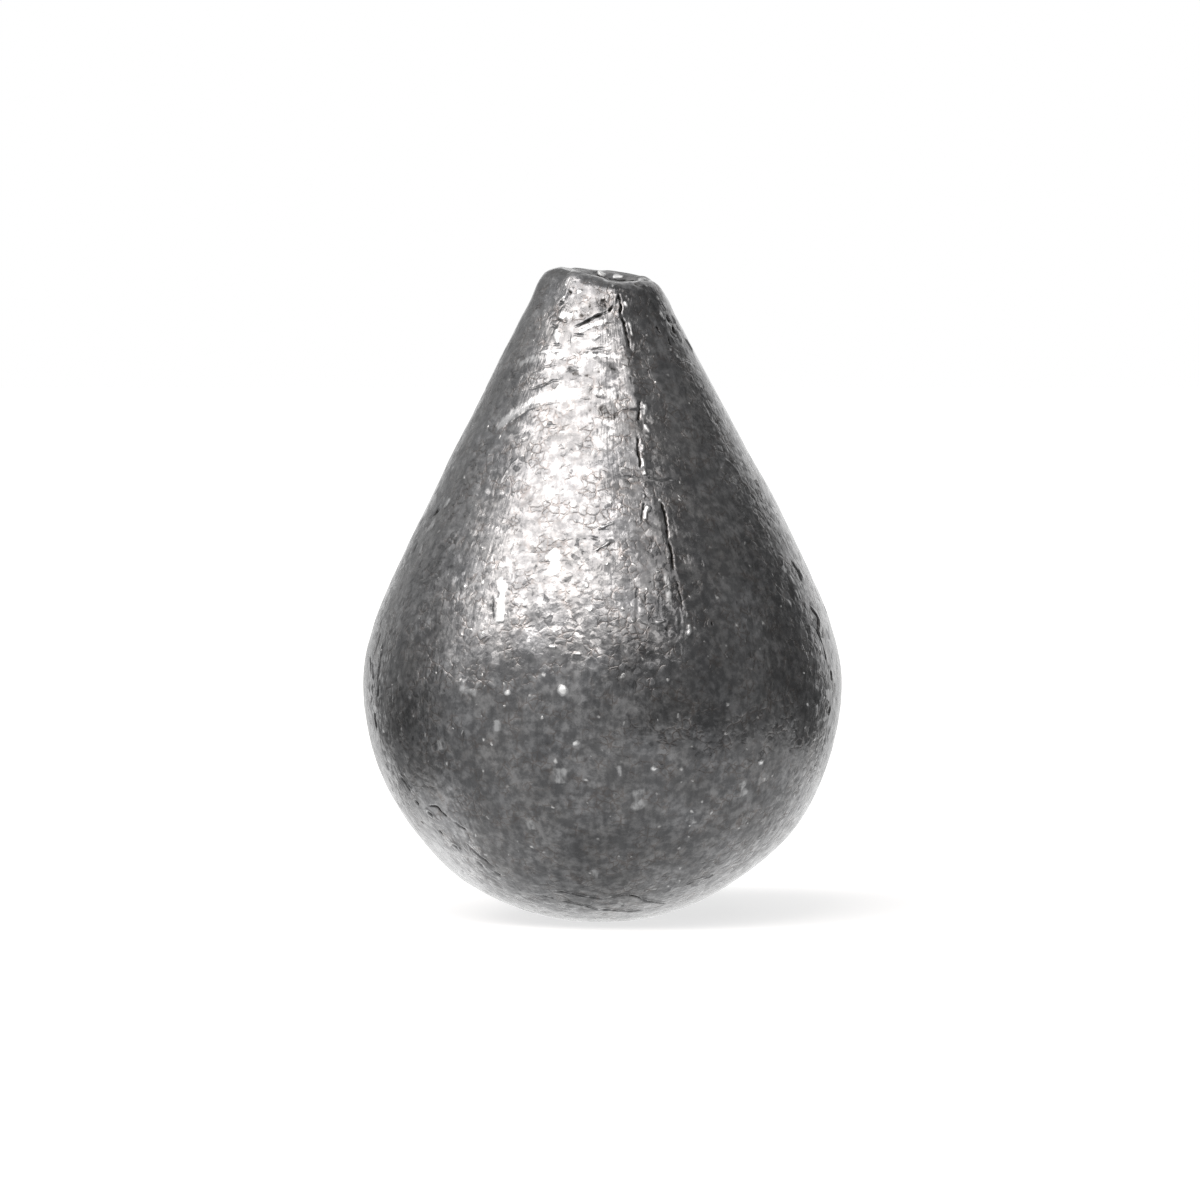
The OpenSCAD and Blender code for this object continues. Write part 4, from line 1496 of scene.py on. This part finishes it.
@dataclass(frozen=True)
class Studio:
    """A plain pale floor, a pale surround and soft lamps."""

    floor_size: float = 0.8
    floor_grey: float = 0.60
    floor_lift: float = 0.68
    floor_seen: float = 0.85
    eye_height: float = 7.0 * MM
    lamp_aim: float = 10.0 * MM
    near_floor: tuple[float, float] = (17.0 * MM, 29.0 * MM)
    surround: float = 0.25
    room_lobes: tuple[Lobe, ...] = (
        Lobe(0.43, 75.0, 15.0, (0.38, 0.62)),
        Lobe(0.50, 113.0, 6.0, (0.87, 0.96)),
        Lobe(0.42, -114.0, 0.0, (0.87, 0.955)),
        Lobe(0.45, -158.0, 25.0, (0.86, 0.96)),
        Lobe(0.80, 150.0, 45.0, (0.73, 0.84)),
        Lobe(0.72, 12.0, 0.0, (0.88, 0.97)),
    )
    floor_lobes: tuple[Lobe, ...] = (
        Lobe(0.55, -98.0, -25.0, (0.85, 0.97)),
    )
    floor_patches: tuple[FloorPatch, ...] = (
        FloorPatch(1.25, (0.0, 14.0 * MM), (15.5 * MM, 17.5 * MM)),
        FloorPatch(2.40, (-9.4 * MM, 0.5 * MM), (1.8 * MM, 6.0 * MM)),
        FloorPatch(0.72, (0.3 * MM, -5.4 * MM), (1.2 * MM, 3.4 * MM)),
    )
    lamps: tuple[SoftBox, ...] = (
        SoftBox("key_lamp", -38.5, 52.0, 0.80, 0.84, 0.36, 4.4, (1.0, 0.945, 0.91), 18.0),
        SoftBox("fill_lamp", -29.5, 52.3, 0.95, 2.05, 0.75, 1.5, (1.0, 0.97, 0.95), 14.0),
    )

    def build(self) -> None:
        """Makes the floor, the surround and the lamps."""
        self._floor()
        self._surround()
        for lamp in self.lamps:
            lamp.build(Vector((0.0, 0.0, self.lamp_aim)))
        bpy.context.scene.view_settings.view_transform = "Standard"

    def _floor(self) -> None:
        """The floor: white where it is seen, and it keeps the casting's shadow."""
        bpy.ops.mesh.primitive_plane_add(size=self.floor_size)
        floor = bpy.context.object
        floor.name = "studio_floor"
        made = bpy.data.materials.new("pale_floor")
        made.use_nodes = True
        sheet = NodeSheet(made.node_tree)
        rays = sheet.add("ShaderNodeLightPath").outputs
        matt = sheet.add("ShaderNodeBsdfDiffuse")
        matt.inputs["Color"].default_value = (self.floor_grey,) * 3 + (1.0,)
        glow = sheet.add("ShaderNodeEmission")
        sheet.join(sheet.sum("MULTIPLY", rays["Is Camera Ray"], self.floor_lift), glow.inputs["Strength"])
        lit = sheet.add("ShaderNodeAddShader")
        sheet.join(matt.outputs[0], lit.inputs[0])
        sheet.join(glow.outputs[0], lit.inputs[1])
        white = sheet.add("ShaderNodeEmission")
        spot = sheet.add("ShaderNodeTexCoord").outputs["Object"]
        direction = sheet.vector("NORMALIZE", sheet.vector("SUBTRACT", spot, (0.0, 0.0, self.eye_height)))
        far = sheet.span(sheet.distance(spot, (0.0, 0.0, 0.0)), *self.near_floor)
        shares = [patch.share(sheet, spot) for patch in self.floor_patches]
        shares += [lobe.share(sheet, direction) for lobe in self.floor_lobes]
        shares += [sheet.span(far, 0.0, 1.0, 1.0, lobe.share(sheet, direction)) for lobe in self.room_lobes]
        strength = self.floor_seen
        for share in shares:
            strength = sheet.sum("MULTIPLY", share, strength)
        sheet.join(strength, white.inputs["Strength"])
        both = sheet.add("ShaderNodeMixShader")
        mirrored = sheet.sum("MAXIMUM", rays["Is Glossy Ray"], rays["Is Transmission Ray"])
        sheet.join(mirrored, both.inputs[0])
        sheet.join(lit.outputs[0], both.inputs[1])
        sheet.join(white.outputs[0], both.inputs[2])
        out = sheet.add("ShaderNodeOutputMaterial")
        sheet.join(both.outputs[0], out.inputs["Surface"])
        floor.data.materials.append(made)

    def _surround(self) -> None:
        """The world: white where it is seen, dimmer where it lights, uneven where it is mirrored."""
        world = bpy.data.worlds.new("studio_surround")
        bpy.context.scene.world = world
        world.use_nodes = True
        sheet = NodeSheet(world.node_tree)
        rays = sheet.add("ShaderNodeLightPath").outputs
        seen = sheet.sum("MAXIMUM", rays["Is Glossy Ray"], rays["Is Transmission Ray"])
        direction = sheet.add("ShaderNodeTexCoord").outputs["Generated"]
        mirrored = 1.0
        for lobe in self.room_lobes:
            mirrored = sheet.sum("MULTIPLY", lobe.share(sheet, direction), mirrored)
        strength = sheet.span(seen, 0.0, 1.0, self.surround, mirrored)
        strength = sheet.sum("MAXIMUM", strength, rays["Is Camera Ray"])
        light = sheet.add("ShaderNodeBackground")
        light.inputs["Color"].default_value = (1.0, 1.0, 1.0, 1.0)
        sheet.join(strength, light.inputs["Strength"])
        out = sheet.add("ShaderNodeOutputWorld")
        sheet.join(light.outputs[0], out.inputs["Surface"])


def outline_from_frame() -> Outline:
    """Takes the casting's driving sizes from the frame.

    Returns:
        The outline that fits the CAD body and its bore.
    """
    low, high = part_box("lead_body")
    bore = next(m for m in frame["record"]["mounts"] if m["name"] == "line_bore")
    return Outline(
        body_r=(high[1] - low[1]) / 2,
        nose_height=high[2] - RIM_RISE,
        bore_r=bore["dims"]["r_mm"] * MM,
        bore_x=bore["pos_m"][0],
    )


def main() -> None:
    """Builds the camera, the casting and the studio, and logs the casting's triangle count."""
    logging.basicConfig(level=logging.INFO, format="%(message)s")
    PhotoCamera().build()
    casting = LeadCasting(outline_from_frame(), CastLead()).build()
    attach(casting, "root")
    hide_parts("lead_body")
    casting.data.calc_loop_triangles()
    log.info("%s: %d triangles", casting.name, len(casting.data.loop_triangles))
    Studio().build()


if __name__ == "__main__":
    main()
